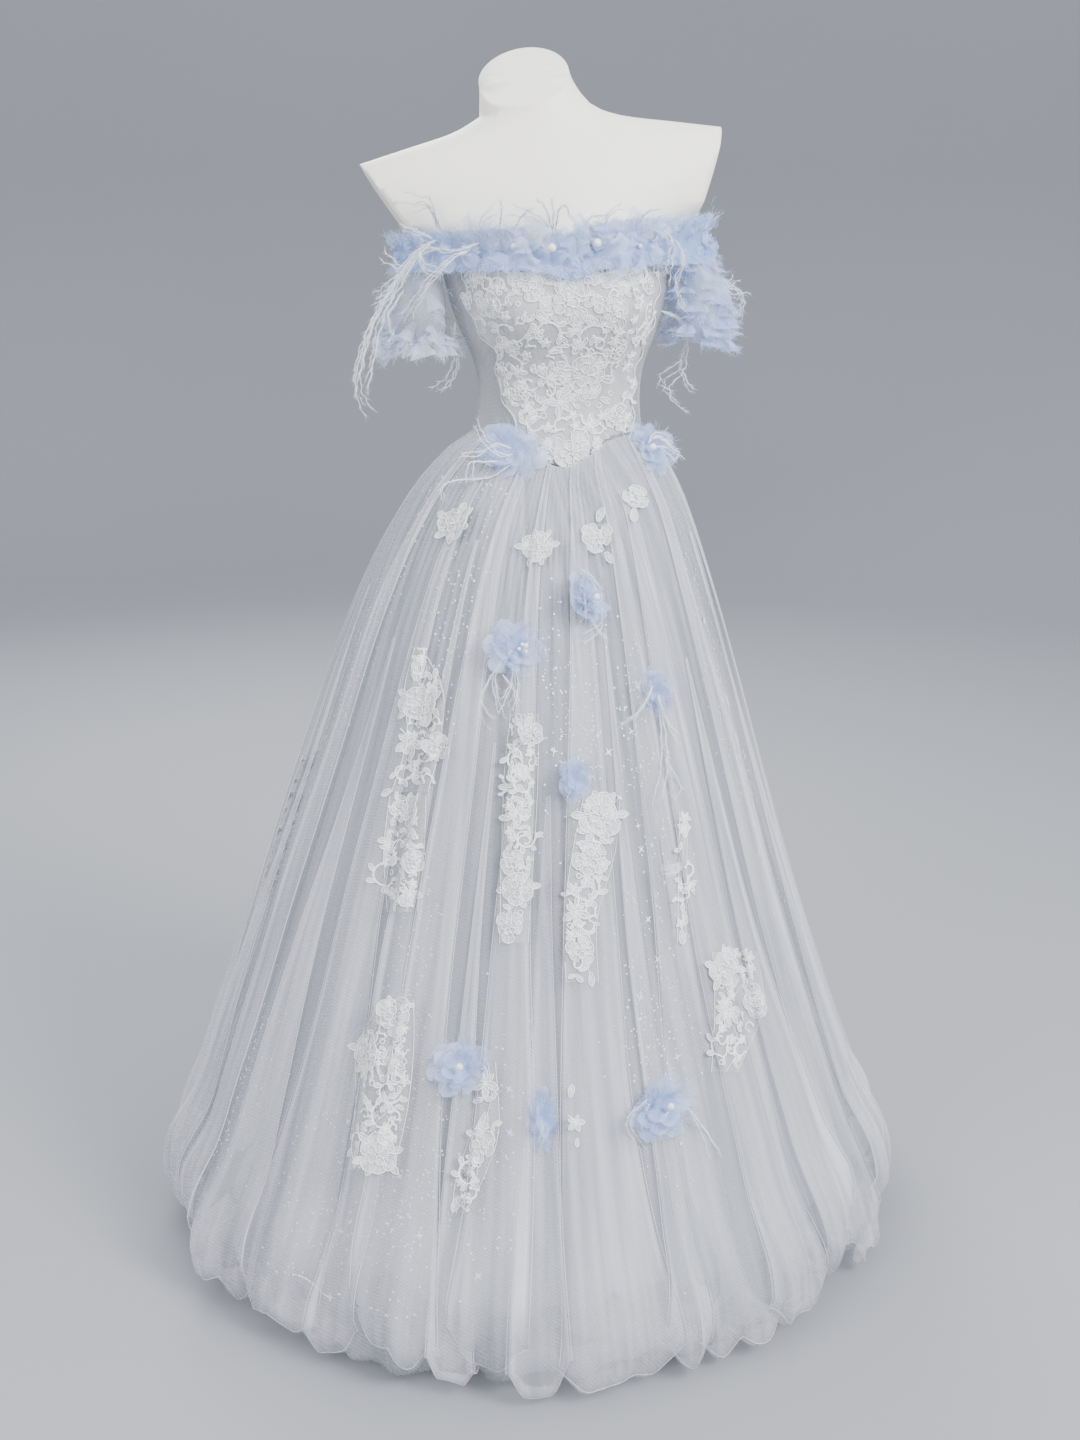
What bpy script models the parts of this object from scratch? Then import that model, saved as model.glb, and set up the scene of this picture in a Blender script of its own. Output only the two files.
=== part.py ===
# Off-shoulder prom dress on a limbless dress form: lace corset bodice, gathered tulle skirt over an
# underskirt, short hanging sleeves, ruffled neckline, tulle flowers, feather tufts and lace pieces.
# Metres, +Z up, the front faces -Y, +X is the dress's left side, the floor is z = 0.
import math
from collections import namedtuple

import bmesh
import bpy
from mathutils import Vector

# Driving dimensions

NECK_TOP = 1.499           # middle of the slanting neck cut above the floor
NECK_CUT_SLOPES = (0.16, 0.68)      # rise of the cut towards +X and towards the back
ARM_CUT_HALF = 0.226       # half width of the form at the top of the arm cuts
ARM_CUT_TOP = 1.416
ARM_CUT_SLOPE = 0.50       # the arm cuts come in towards the armpit
WAIST_SEAM_SIDE = 1.068    # waist seam at the sides and back
WAIST_POINT_DROP = 0.038   # the seam's point in front hangs this much lower
WAIST_POINT_SPREAD = 30.0  # degrees
BODICE_TOP_SIDE = 1.292
SWEETHEART_RISE = 0.010    # over each bust
SWEETHEART_RISE_SPREAD = 22.0       # degrees
SWEETHEART_DIP = 0.016     # in the middle of the front
SWEETHEART_DIP_SPREAD = 12.0
FORM_BOTTOM = 0.800        # flat underside of the dress form
POLE_RADIUS = 0.0160
BASE_RADIUS = 0.160
BASE_THICK = 0.010
COLLAR_RADIUS = 0.030      # clamp collar that carries the form on the pole
COLLAR_HEIGHT = 0.030
BAR_SIDES = 24
BASE_SIDES = 48

SEAM_GAP = 0.0003          # between pieces that are sewn or seated together
CLOTH_CLEAR = 0.0015       # between the form and the cloth on it
BODICE_WALL = 0.0020
SKIRT_WALL = 0.0018
SLEEVE_WALL = 0.0016
RUFFLE_WALL = 0.0014
LACE_WALL = 0.0012
LACE_CLEAR = 0.0009
SKIRT_LACE_CLEAR = 0.0012
HIP_LACE_CLEAR = 0.0020    # over the bend of the skirt below the waist
HIP_LACE_ABOVE = 0.90
PLACKET_WALL = 0.0015
SHARP_ANGLE = 40.0         # degrees between faces, above which an edge is hard
PETAL_WALL = 0.0012

OVERLAY_FOLDS = 40         # gathers round the outer skirt
UNDERSKIRT_FOLDS = 14
SLEEVE_FOLDS = 9
RUFFLE_WAVES = 27
COLUMNS_PER_FOLD = 3
FOLD_SHAPE = (0.0, 0.95, 0.80)      # valley, crest and shoulder of one fold
GATHER_DRIFTS = ((0.030, 3, 0.7), (0.016, 7, 2.0))  # radians, waves round the waist, start of each
FOLD_STRENGTH = (0.74, 0.26)        # middle and range of how strongly single folds stand out
FOLD_STRENGTH_TURN = (2.4, 0.5)     # radians from fold to fold, and the start
UNDERSKIRT_START = 0.006   # below the waist seam
UNDERSKIRT_HEM = 0.003
OVERLAY_HEM = 0.006        # the outer hem where it hangs lowest
HEM_LIFT = 0.022           # and how much higher the uneven hem rises
HEM_WAVES = (4, 3)         # two slow waves round the hem that make it uneven
HEM_WAVE_START = 1.2
UNDERSKIRT_SHARE = 0.90    # the underskirt stands this far out against the outer one
UNDERSKIRT_HEM_SHARE = 0.955
UNDERSKIRT_WAVE = 0.9      # depth of its folds at the hem, against the outer skirt's

SHOULDER_TILT = 0.105      # the form stands with its left shoulder raised, as a slope
TILT_FROM, TILT_FULL = 1.20, 1.40

# Cross sections of the dress form, from its underside to above the neck cut
Level = namedtuple("Level", "height half_width front back squareness")
FORM_LEVELS = (
    Level(0.800, 0.150, 0.092, 0.108, 2.2),
    Level(0.835, 0.166, 0.098, 0.120, 2.2),
    Level(0.890, 0.168, 0.098, 0.122, 2.2),
    Level(0.960, 0.150, 0.094, 0.110, 2.2),
    Level(1.030, 0.116, 0.086, 0.088, 2.2),
    Level(1.068, 0.102, 0.080, 0.079, 2.2),
    Level(1.110, 0.096, 0.077, 0.076, 2.2),
    Level(1.150, 0.101, 0.083, 0.082, 2.2),
    Level(1.190, 0.119, 0.096, 0.089, 2.2),
    Level(1.230, 0.132, 0.102, 0.095, 2.2),
    Level(1.270, 0.138, 0.103, 0.099, 2.2),
    Level(1.298, 0.145, 0.100, 0.101, 2.1),
    Level(1.316, 0.180, 0.096, 0.101, 1.9),
    Level(1.336, 0.232, 0.092, 0.100, 1.7),
    Level(1.365, 0.265, 0.086, 0.097, 1.6),
    Level(1.395, 0.265, 0.076, 0.092, 1.6),
    Level(1.418, 0.228, 0.066, 0.085, 1.6),
    Level(1.432, 0.160, 0.060, 0.077, 1.7),
    Level(1.442, 0.104, 0.056, 0.069, 1.9),
    Level(1.458, 0.068, 0.052, 0.060, 2.0),
    Level(1.490, 0.057, 0.051, 0.055, 2.0),
    Level(1.560, 0.053, 0.053, 0.051, 2.0),
)
FORM_COLUMNS = 32
FORM_LOW_STEP, FORM_LOW_COUNT = 0.0575, 4   # rings of the hips
FORM_HIGH_START = 1.030
FORM_HIGH_STEP, FORM_HIGH_COUNT = 0.022, 13 # closer rings round the bust
FORM_SHOULDERS_ABOVE = 1.31

BUST_HEIGHT = 1.222
BUST_ANGLE = 27.0          # each side of the front
BUST_RISE = 0.022
BUST_SPREAD_ANGLE = 21.0
BUST_SPREAD_HEIGHT = 0.044
CUP_BRIDGE = 0.0040        # the cloth spans the hollow between the cups
CUP_BRIDGE_SPREAD = 16.0   # degrees
CUP_EASE = 0.06            # and stands off the cups by this share of their rise

# How far the middle of the figure stands to its left at each height
Lean = namedtuple("Lean", "height shift")
LEAN_ROWS = (
    Lean(0.00, 0.000),
    Lean(0.45, 0.001),
    Lean(0.70, 0.010),
    Lean(0.90, 0.019),
    Lean(1.00, 0.030),
    Lean(1.08, 0.043),
    Lean(1.24, 0.042),
    Lean(1.42, 0.022),
    Lean(1.50, -0.001),
    Lean(1.56, -0.010),
)

# Outer skirt: how far its valleys stand from the middle at each share of the drop from waist to
# hem, and how deep its folds are
Hang = namedtuple("Hang", "drop side front back fold_depth")
SKIRT_HANGS = (
    Hang(0.000, 0.107, 0.094, 0.085, 0.0015),
    Hang(0.022, 0.135, 0.103, 0.114, 0.0036),
    Hang(0.080, 0.172, 0.144, 0.157, 0.0062),
    Hang(0.225, 0.229, 0.205, 0.216, 0.0094),
    Hang(0.465, 0.304, 0.292, 0.298, 0.0130),
    Hang(0.710, 0.382, 0.384, 0.384, 0.0165),
    Hang(0.915, 0.452, 0.478, 0.466, 0.0200),
    Hang(0.965, 0.480, 0.518, 0.500, 0.0215),
    Hang(1.000, 0.472, 0.514, 0.494, 0.0200),
)

# How far the ruffled neckline stands out beyond the bodice, where it runs over the sleeves
Reach = namedtuple("Reach", "degrees_from_side distance")
NECKLINE_REACHES = (
    Reach(0.0, 0.0455),
    Reach(7.0, 0.0448),
    Reach(12.4, 0.0415),
    Reach(15.2, 0.0345),
    Reach(22.0, 0.0220),
    Reach(28.0, 0.0105),
    Reach(35.0, 0.0040),
    Reach(46.0, 0.0000),
    Reach(90.0, 0.0000),
)
RUFFLE_HEIGHT = 1.297      # the line along which it is gathered and sewn
RUFFLE_UP, RUFFLE_DOWN = 0.027, 0.027
RUFFLE_FLARE = 0.009
RUFFLE_DEPTH = 0.0050
RUFFLE_SHAPE = (-0.6, 1.0, 0.5)     # one wave of the frill
RUFFLE_DIP = 0.012         # the gathered line hangs lower in the middle of the front
RUFFLE_DIP_SPREAD = 14.0   # degrees
RUFFLE_SIDE_LEAN = 0.25    # the raised shoulder's side flares less at the line, the other one more

# Hanging sleeve: its inner and outer side from the body's middle, half its depth, gather depth
Sleeve = namedtuple("Sleeve", "height inner outer half_depth gather")
SLEEVE_GATHER_SHAPE = (-0.8, 1.0, 0.6)      # one gather
SLEEVE_GATHER_SIDEWAYS = 0.7        # gathers are flatter across than along the arm
SLEEVE_ROWS = (
    Sleeve(1.290, 0.1478, 0.1912, 0.0430, 0.0000),
    Sleeve(1.266, 0.1458, 0.1925, 0.0460, 0.0004),
    Sleeve(1.236, 0.1440, 0.2040, 0.0550, 0.0020),
    Sleeve(1.196, 0.1420, 0.2070, 0.0580, 0.0030),
    Sleeve(1.166, 0.1400, 0.2080, 0.0610, 0.0060),
)

# Tulle flowers: angle from the front, height of the middle, how far the petals reach, turn, and
# how far the middle sits off the nearest fold
Bloom = namedtuple("Bloom", "name degrees height reach turn seat")
BLOOMS = (
    Bloom("waist_right", -37, 1.049, 0.028, 10, 0.0005),
    Bloom("waist_left", 61, 1.047, 0.028, 40, 0.0012),
    Bloom("skirt_a", 10, 0.876, 0.029, 0, 0.0008),
    Bloom("skirt_b", -16, 0.823, 0.031, 25, 0.0012),
    Bloom("skirt_c", 31, 0.763, 0.024, 50, 0.0008),
    Bloom("skirt_d", 4, 0.670, 0.024, 15, 0.0012),
    Bloom("skirt_e", -19, 0.347, 0.028, 35, 0.0012),
    Bloom("skirt_f", -5, 0.294, 0.026, 5, 0.0012),
    Bloom("skirt_g", 16, 0.293, 0.030, 60, 0.0012),
    Bloom("skirt_h", 128, 0.740, 0.030, 20, 0.0012),
    Bloom("skirt_i", -142, 0.480, 0.030, 45, 0.0012),
)
PETALS = 5
COLUMNS_PER_PETAL = 2
PETAL_CURL = 0.011         # how far the rim stands off the cloth
PETAL_WAVE = 0.0030
BLOOM_WINDOW = 0.080       # radians to each side in which a flower rests on the nearest crest
WAIST_BLOOM_WINDOW = 0.030
WAIST_BLOOM_ABOVE = 1.02
SEAT_ABOVE_SEAM = 0.001    # above the waist seam a seated piece rests on the bodice
SEAT_BELOW_SEAM = 0.012    # and up to here it rests on the skirt's gathers as well
BLOOM_HEART = 0.22         # share of the reach that lies flat on the cloth
BLOOM_RINGS = ((BLOOM_HEART, 0.0), (0.62, 0.35), (1.0, 1.0))        # share of the reach, share of the curl
BLOOM_NOTCH = 0.26         # between two petals
BLOOM_SEAT_SHARE = 0.65    # share of the reach to each side that decides how far a flower is seated out

# Feather tufts: the flower or neckline place that they spring from, and their strands
Tuft = namedtuple("Tuft", "bloom strands length fan")
BLOOM_TUFTS = (
    Tuft("waist_right", 4, 0.060, -70),
    Tuft("waist_left", 4, 0.055, 60),
    Tuft("skirt_a", 4, 0.070, 40),
    Tuft("skirt_b", 5, 0.075, 0),
    Tuft("skirt_c", 4, 0.080, 30),
    Tuft("skirt_g", 4, 0.060, 50),
    Tuft("skirt_h", 4, 0.070, -30),
)
SleeveTuft = namedtuple("SleeveTuft", "name side degrees strands drop reach")
SLEEVE_TUFTS = (
    SleeveTuft("sleeve_right", -1, 86, 7, 0.160, 0.030),
    SleeveTuft("sleeve_left", 1, 86, 6, 0.130, 0.024),
)
SLEEVE_STRAND_STEPS = (0.12, 0.34, 0.62, 1.0)       # shares of a strand's fall
SLEEVE_STRAND_FAN = 0.34   # radians between the outer strands' ends
SLEEVE_REACH_TURN = 1.7    # how the strands differ in reach and drop, in radians from one to the next
SLEEVE_DROP_TURN = 2.3
SLEEVE_DROP_EVEN, SLEEVE_DROP_VARIED = 0.82, 0.18
SLEEVE_STRAND_RISE = 0.10  # slope of a sleeve tuft's seat
BLOOM_STRAND_STEPS = (0.36, 0.68, 1.0)
BLOOM_STRAND_FAN = 1.9     # radians from the first strand to the last
BLOOM_STRAND_MIDDLE = 0.4
BLOOM_STRAND_EVEN, BLOOM_STRAND_VARIED = 0.85, 0.15
BLOOM_STRAND_TURN = 2.1
BLOOM_STRAND_SAG = 0.35    # share of its length that a strand drops by its tip
BLOOM_STRAND_OFF = 0.020   # strands hang this far off the skirt, more in their middle, each a bit more
BLOOM_STRAND_ARCH = 0.012
BLOOM_STRAND_LAYER = 0.002
BLOOM_STRAND_WINDOW = 0.10
STRAND_ROOT = 0.004        # straight start of a strand on its backing
STRAND_TAPER = 0.55
STRAND_RADIUS = 0.0011
TUFT_RADIUS = 0.0052
STRAND_CLEAR = 0.010       # strands fall this far outside the frill
STRAND_RISE = 0.014        # strands stand up first, clear of the petals
TUFT_SEAT = 0.0004
TUFT_THICK = 0.0030

# Lace pieces on the skirt: where the middle lies, how many skirt columns wide, length, scallops
Lace = namedtuple("Lace", "name degrees height columns length lobes")
SKIRT_LACE = (
    Lace("flower_a", -48, 0.963, 4, 0.060, 1),
    Lace("flower_b", -10, 0.938, 5, 0.050, 1),
    Lace("flower_c", 19, 0.949, 3, 0.056, 1),
    Lace("flower_d", 42, 0.985, 3, 0.050, 1),
    Lace("spray_a", -47, 0.745, 3, 0.150, 2),
    Lace("spray_b", -37, 0.585, 3, 0.150, 2),
    Lace("spray_c", -11, 0.610, 3, 0.250, 4),
    Lace("spray_d", 7, 0.545, 3, 0.210, 3),
    Lace("spray_e", 30, 0.532, 2, 0.130, 2),
    Lace("spray_f", 37, 0.370, 3, 0.137, 2),
    Lace("spray_g", -36, 0.312, 4, 0.185, 3),
    Lace("spray_h", -17, 0.244, 3, 0.110, 2),
    Lace("spray_i", 104, 0.580, 3, 0.230, 3),
    Lace("spray_j", 168, 0.640, 3, 0.240, 3),
    Lace("spray_k", -106, 0.500, 3, 0.230, 3),
)

# Bodice panels by the angles of their seams, from the middle of the front round to the back
Panel = namedtuple("Panel", "name start end rows")
BODICE_PANELS = (
    Panel("centre_front", -34, 34, 12),
    Panel("side_front_left", 34, 86, 12),
    Panel("side_back_left", 86, 132, 8),
    Panel("back_left", 132, 180, 8),
    Panel("back_right", 180, 228, 8),
    Panel("side_back_right", 228, 274, 8),
    Panel("side_front_right", 274, 326, 12),
)
PANEL_STEP = 8.6           # degrees, at most, from column to column
LACE_COLUMNS = 14
LACE_ROWS = 14
LACE_FOOT = 0.0025         # above the waist seam
LACE_TOP_DROP = 0.042      # below the bodice's top, under the ruffle
SKIRT_LACE_WIDE, SKIRT_LACE_NARROW = 0.92, 0.08     # how far its odd and even rows reach sideways
LACE_EDGE_IN = 1           # degrees inside the front panel's seams
LACE_SCALLOPS = (-0.0010, 0.0035)   # height of even and odd columns
LACE_NARROW = 0.94         # every second row at the side edges
PLACKET_HALF_WIDTH = 0.011
PLACKET_LOW, PLACKET_HIGH = 0.002, 0.030    # clear of the waist seam and of the bodice's top
PLACKET_ROWS = 7

# Colour, roughness and metallic value of each material
FINISHES = {
    "form_cover": ((0.79, 0.77, 0.73), 0.75, 0.0),
    "stand_metal": ((0.62, 0.62, 0.63), 0.35, 1.0),
    "bodice_cloth": ((0.66, 0.67, 0.70), 0.70, 0.0),
    "lace": ((0.86, 0.87, 0.88), 0.75, 0.0),
    "skirt_tulle": ((0.70, 0.71, 0.75), 0.80, 0.0),
    "underskirt": ((0.60, 0.61, 0.66), 0.70, 0.0),
    "blue_tulle": ((0.40, 0.52, 0.77), 0.80, 0.0),
    "feather": ((0.80, 0.84, 0.90), 0.80, 0.0),
}


def read(rows, key):
    """Values of a table at a key, on a smooth curve through its rows."""
    keys = [row[0] for row in rows]
    key = min(max(key, keys[0]), keys[-1])
    low = next(i for i in range(len(rows) - 1) if key <= keys[i + 1])
    span = keys[low + 1] - keys[low]
    t = (key - keys[low]) / span

    def slope(i, field):
        before = max(i - 1, 0)
        after = min(i + 1, len(rows) - 1)
        return (rows[after][field] - rows[before][field]) / (keys[after] - keys[before])

    values = []
    for field in range(1, len(rows[0])):
        start = rows[low][field]
        end = rows[low + 1][field]
        bend = span * (slope(low, field) * (1 - t) - slope(low + 1, field) * t)
        straight = (end - start) * (1 - 2 * t)
        values.append(start + (end - start) * t + t * (1 - t) * (bend - straight))
    return values


def place(x, y, z):
    """A point of the upright figure, moved to how it stands and leans."""
    share = min(max((z - TILT_FROM) / (TILT_FULL - TILT_FROM), 0.0), 1.0)
    tilt = SHOULDER_TILT * x * share * share * (3 - 2 * share)
    return Vector((x + read(LEAN_ROWS, z)[0], y, z + tilt))


def around(angle, distance, z):
    """A point at an angle from the front and a distance from the body's middle."""
    return place(distance * math.sin(angle), -distance * math.cos(angle), z)


def bell(value, spread):
    return math.exp(-((value / spread) ** 2))


def bust(angle, z):
    """How far the cups stand out."""
    degrees = (math.degrees(angle) + 180) % 360 - 180
    sides = bell(degrees - BUST_ANGLE, BUST_SPREAD_ANGLE) + bell(degrees + BUST_ANGLE, BUST_SPREAD_ANGLE)
    return BUST_RISE * sides * bell(z - BUST_HEIGHT, BUST_SPREAD_HEIGHT)


def form_radius(angle, z):
    """Distance of the dress form's surface from the body's middle."""
    half_width, front, back, power = read(FORM_LEVELS, z)
    depth = front if math.cos(angle) > 0 else back
    across = abs(math.sin(angle) / half_width) ** power
    along = abs(math.cos(angle) / depth) ** power
    return (across + along) ** (-1 / power) + bust(angle, z)


def front_degrees(angle):
    """Degrees from the middle of the front, either way."""
    return abs((math.degrees(angle) + 180) % 360 - 180)


def bodice_radius(angle, z):
    """The bodice's outer face."""
    bridge = CUP_BRIDGE * bell(front_degrees(angle), CUP_BRIDGE_SPREAD)
    bridge *= bell(z - BUST_HEIGHT, BUST_SPREAD_HEIGHT)
    ease = CLOTH_CLEAR + CUP_EASE * bust(angle, z)
    return form_radius(angle, z) + ease + BODICE_WALL + bridge


def waist_seam(angle):
    return WAIST_SEAM_SIDE - WAIST_POINT_DROP * bell(front_degrees(angle), WAIST_POINT_SPREAD)


def bodice_top(angle):
    degrees = front_degrees(angle)
    rise = SWEETHEART_RISE * bell(degrees - BUST_ANGLE, SWEETHEART_RISE_SPREAD)
    return BODICE_TOP_SIDE + rise - SWEETHEART_DIP * bell(degrees, SWEETHEART_DIP_SPREAD)


def finish(name):
    """The named material, made once."""
    if name not in bpy.data.materials:
        colour, roughness, metallic = FINISHES[name]
        material = bpy.data.materials.new(name)
        material.use_nodes = True
        shader = material.node_tree.nodes["Principled BSDF"]
        shader.inputs["Base Color"].default_value = (*colour, 1.0)
        shader.inputs["Roughness"].default_value = roughness
        shader.inputs["Metallic"].default_value = metallic
    return bpy.data.materials[name]


def add_object(name, mesh_builder, material):
    """Turn a finished bmesh into an object with its faces pointing out."""
    bmesh.ops.recalc_face_normals(mesh_builder, faces=mesh_builder.faces)
    mesh = bpy.data.meshes.new(name)
    mesh_builder.to_mesh(mesh)
    mesh_builder.free()
    mesh.shade_smooth()
    mesh.set_sharp_from_angle(angle=math.radians(SHARP_ANGLE))
    mesh.materials.append(finish(material))
    thing = bpy.data.objects.new(name, mesh)
    bpy.context.collection.objects.link(thing)
    return thing


def cloth_wall(name, material, outer, inner, round_tube, holes=(), filled_start=False):
    """A wall between two grids of points: a tube, or a patch with edges and perhaps holes."""
    body = bmesh.new()
    sides = [[[body.verts.new(point) for point in row] for row in grid] for grid in (outer, inner)]
    rows = len(outer)
    columns = len(outer[0])
    cells_across = columns if round_tube else columns - 1
    edge_cells = {}
    for row in range(rows - 1):
        for column in range(cells_across):
            if (row, column) in holes:
                continue
            after = (column + 1) % columns
            corners = ((row, column), (row, after), (row + 1, after), (row + 1, column))
            for side, grid in enumerate(sides):
                ring = [grid[r][c] for r, c in corners]
                body.faces.new(ring if side == 0 else ring[::-1])
            for one, two in zip(corners, corners[1:] + corners[:1]):
                edge_cells.setdefault(frozenset((one, two)), []).append((one, two))
    for ends in edge_cells.values():
        one, two = ends[0]
        if len(ends) > 1 or (filled_start and one[0] == 0 and two[0] == 0):
            continue
        body.faces.new([sides[0][one[0]][one[1]], sides[1][one[0]][one[1]],
                        sides[1][two[0]][two[1]], sides[0][two[0]][two[1]]])
    if filled_start:
        body.faces.new(sides[0][0])
        body.faces.new(sides[1][0])
    loose = [vert for vert in body.verts if not vert.link_faces]
    bmesh.ops.delete(body, geom=loose, context="VERTS")
    bmesh.ops.triangulate(body, faces=body.faces)
    return add_object(name, body, material)


def dress_form():
    """Whole, smooth torso with flat cuts at the neck, the arms and below."""
    body = bmesh.new()
    levels = [FORM_LEVELS[0].height + step * FORM_LOW_STEP for step in range(FORM_LOW_COUNT)]
    levels += [FORM_HIGH_START + step * FORM_HIGH_STEP for step in range(FORM_HIGH_COUNT)]
    levels += [level.height for level in FORM_LEVELS if level.height > FORM_SHOULDERS_ABOVE]
    rings = []
    for z in levels:
        half_width, front, back, power = read(FORM_LEVELS, z)
        ring = []
        for column in range(FORM_COLUMNS):
            turn = 2 * math.pi * column / FORM_COLUMNS
            across = math.copysign(abs(math.sin(turn)) ** (2 / power), math.sin(turn))
            along = math.copysign(abs(math.cos(turn)) ** (2 / power), math.cos(turn))
            x = half_width * across
            y = -along * (front if along > 0 else back)
            angle = math.atan2(x, -y)
            stretch = 1 + bust(angle, z) / math.hypot(x, y)
            ring.append(body.verts.new((x * stretch, y * stretch, z)))
        rings.append(ring)
    for lower, upper in zip(rings, rings[1:]):
        for column in range(FORM_COLUMNS):
            after = (column + 1) % FORM_COLUMNS
            body.faces.new((lower[column], lower[after], upper[after], upper[column]))
    body.faces.new(rings[0])
    body.faces.new(rings[-1])
    cuts = [((0, 0, NECK_TOP), (-NECK_CUT_SLOPES[0], -NECK_CUT_SLOPES[1], 1))]
    cuts += [((side * ARM_CUT_HALF, 0, ARM_CUT_TOP), (side, 0, -ARM_CUT_SLOPE)) for side in (-1, 1)]
    for point, normal in cuts:
        faces = [face for face in body.faces if face.calc_center_median().z > BODICE_TOP_SIDE]
        edges = {edge for face in faces for edge in face.edges}
        verts = {vert for face in faces for vert in face.verts}
        cut = bmesh.ops.bisect_plane(body, geom=[*verts, *edges, *faces], plane_co=point, plane_no=normal,
                                     clear_outer=True, dist=0.0002)
        rim = [item for item in cut["geom_cut"] if isinstance(item, bmesh.types.BMEdge)]
        bmesh.ops.contextual_create(body, geom=rim)
    bmesh.ops.remove_doubles(body, verts=body.verts, dist=0.0003)
    for vert in body.verts:
        vert.co = place(*vert.co)
    bmesh.ops.triangulate(body, faces=body.faces)
    return add_object("form_torso", body, "form_cover")


def turned(name, radius, low, high, sides=BAR_SIDES):
    """An upright round bar or disc over the origin."""
    body = bmesh.new()
    bmesh.ops.create_cone(body, cap_ends=True, segments=sides, radius1=radius, radius2=radius,
                          depth=high - low)
    bmesh.ops.translate(body, verts=body.verts, vec=(0.0, 0.0, (low + high) / 2))
    return add_object(name, body, "stand_metal")


def stand():
    """Pole and flat round base, with the base's middle at the origin."""
    collar_low = FORM_BOTTOM - SEAM_GAP - COLLAR_HEIGHT
    turned("stand_base", BASE_RADIUS, 0.0, BASE_THICK, sides=BASE_SIDES)
    turned("stand_pole", POLE_RADIUS, BASE_THICK + SEAM_GAP, collar_low - SEAM_GAP)
    turned("stand_collar", COLLAR_RADIUS, collar_low, FORM_BOTTOM - SEAM_GAP)


def bodice_panels():
    """Seven shaped panels, each a wall from the waist seam to the neckline."""
    for panel in BODICE_PANELS:
        start = math.radians(panel.start)
        end = math.radians(panel.end)
        gap = SEAM_GAP / 2 / bodice_radius(start, WAIST_SEAM_SIDE)
        columns = math.ceil((panel.end - panel.start) / PANEL_STEP) + 1
        angles = [start + gap + (end - start - 2 * gap) * i / (columns - 1) for i in range(columns)]
        outer, inner = [], []
        for row in range(panel.rows):
            share = row / (panel.rows - 1)
            heights = [waist_seam(a) + (bodice_top(a) - waist_seam(a)) * share for a in angles]
            outer.append([around(a, bodice_radius(a, z), z) for a, z in zip(angles, heights)])
            inner.append([around(a, bodice_radius(a, z) - BODICE_WALL, z) for a, z in zip(angles, heights)])
        cloth_wall("bodice_" + panel.name, "bodice_cloth", outer, inner, False)


def bodice_lace():
    """Corded lace over the front panel: scalloped edges, and its gaps cut through."""
    reach = math.radians(BODICE_PANELS[0].end - LACE_EDGE_IN)
    outer, inner, holes = [], [], []
    for row in range(LACE_ROWS):
        outer_row, inner_row = [], []
        for column in range(LACE_COLUMNS + 1):
            share = row / (LACE_ROWS - 1)
            scallop = LACE_SCALLOPS[column % 2]
            narrow = LACE_NARROW if row % 2 and column in (0, LACE_COLUMNS) else 1.0
            angle = reach * (2 * column / LACE_COLUMNS - 1) * narrow
            low = waist_seam(angle) + LACE_FOOT + scallop
            high = bodice_top(angle) - LACE_TOP_DROP + scallop
            z = low + (high - low) * share
            distance = bodice_radius(angle, z) + LACE_CLEAR
            outer_row.append(around(angle, distance + LACE_WALL, z))
            inner_row.append(around(angle, distance, z))
            if row % 2 and (column + row) % 4 == 1 and 0 < column < LACE_COLUMNS - 1 and row < LACE_ROWS - 2:
                holes.append((row, column))
        outer.append(outer_row)
        inner.append(inner_row)
    cloth_wall("lace_front", "lace", outer, inner, False, holes=holes)


def back_placket():
    """Plain lapped strip over the closing in the middle of the back."""
    outer, inner = [], []
    for row in range(PLACKET_ROWS):
        outer_row, inner_row = [], []
        for side in (-1, 0, 1):
            low = WAIST_SEAM_SIDE + PLACKET_LOW
            high = BODICE_TOP_SIDE - PLACKET_HIGH
            z = low + (high - low) * row / (PLACKET_ROWS - 1)
            angle = math.pi + side * PLACKET_HALF_WIDTH / bodice_radius(math.pi, z)
            distance = bodice_radius(angle, z) + LACE_CLEAR
            outer_row.append(around(angle, distance + PLACKET_WALL, z))
            inner_row.append(around(angle, distance, z))
        outer.append(outer_row)
        inner.append(inner_row)
    cloth_wall("back_placket", "bodice_cloth", outer, inner, False)


def overlay_angles():
    """Column angles of the outer skirt, its gathers unevenly wide."""
    count = OVERLAY_FOLDS * COLUMNS_PER_FOLD
    even = [2 * math.pi * i / count for i in range(count)]
    return [a + sum(size * math.sin(waves * a + begin) for size, waves, begin in GATHER_DRIFTS) for a in even]


def fold_share(column):
    """How far out a column of the outer skirt stands, from valley to crest."""
    fold, step = divmod(column, COLUMNS_PER_FOLD)
    middle, span = FOLD_STRENGTH
    turn, begin = FOLD_STRENGTH_TURN
    return (middle + span * math.sin(turn * fold + begin)) * FOLD_SHAPE[step]


def hem_height(angle):
    """The outer skirt's uneven hem."""
    waves = math.sin(HEM_WAVES[0] * angle + HEM_WAVE_START) * math.cos(HEM_WAVES[1] * angle)
    return OVERLAY_HEM + HEM_LIFT * (0.5 + 0.5 * waves)


def hang_radius(angle, drop):
    """Distance of the outer skirt's valleys and the depth of its folds, at a share of the drop."""
    side, front, back, depth = read(SKIRT_HANGS, drop)
    along = front if math.cos(angle) > 0 else back
    plain = 1 / math.hypot(math.sin(angle) / side, math.cos(angle) / along)
    return plain, depth


OVERLAY_ANGLES = overlay_angles()


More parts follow.
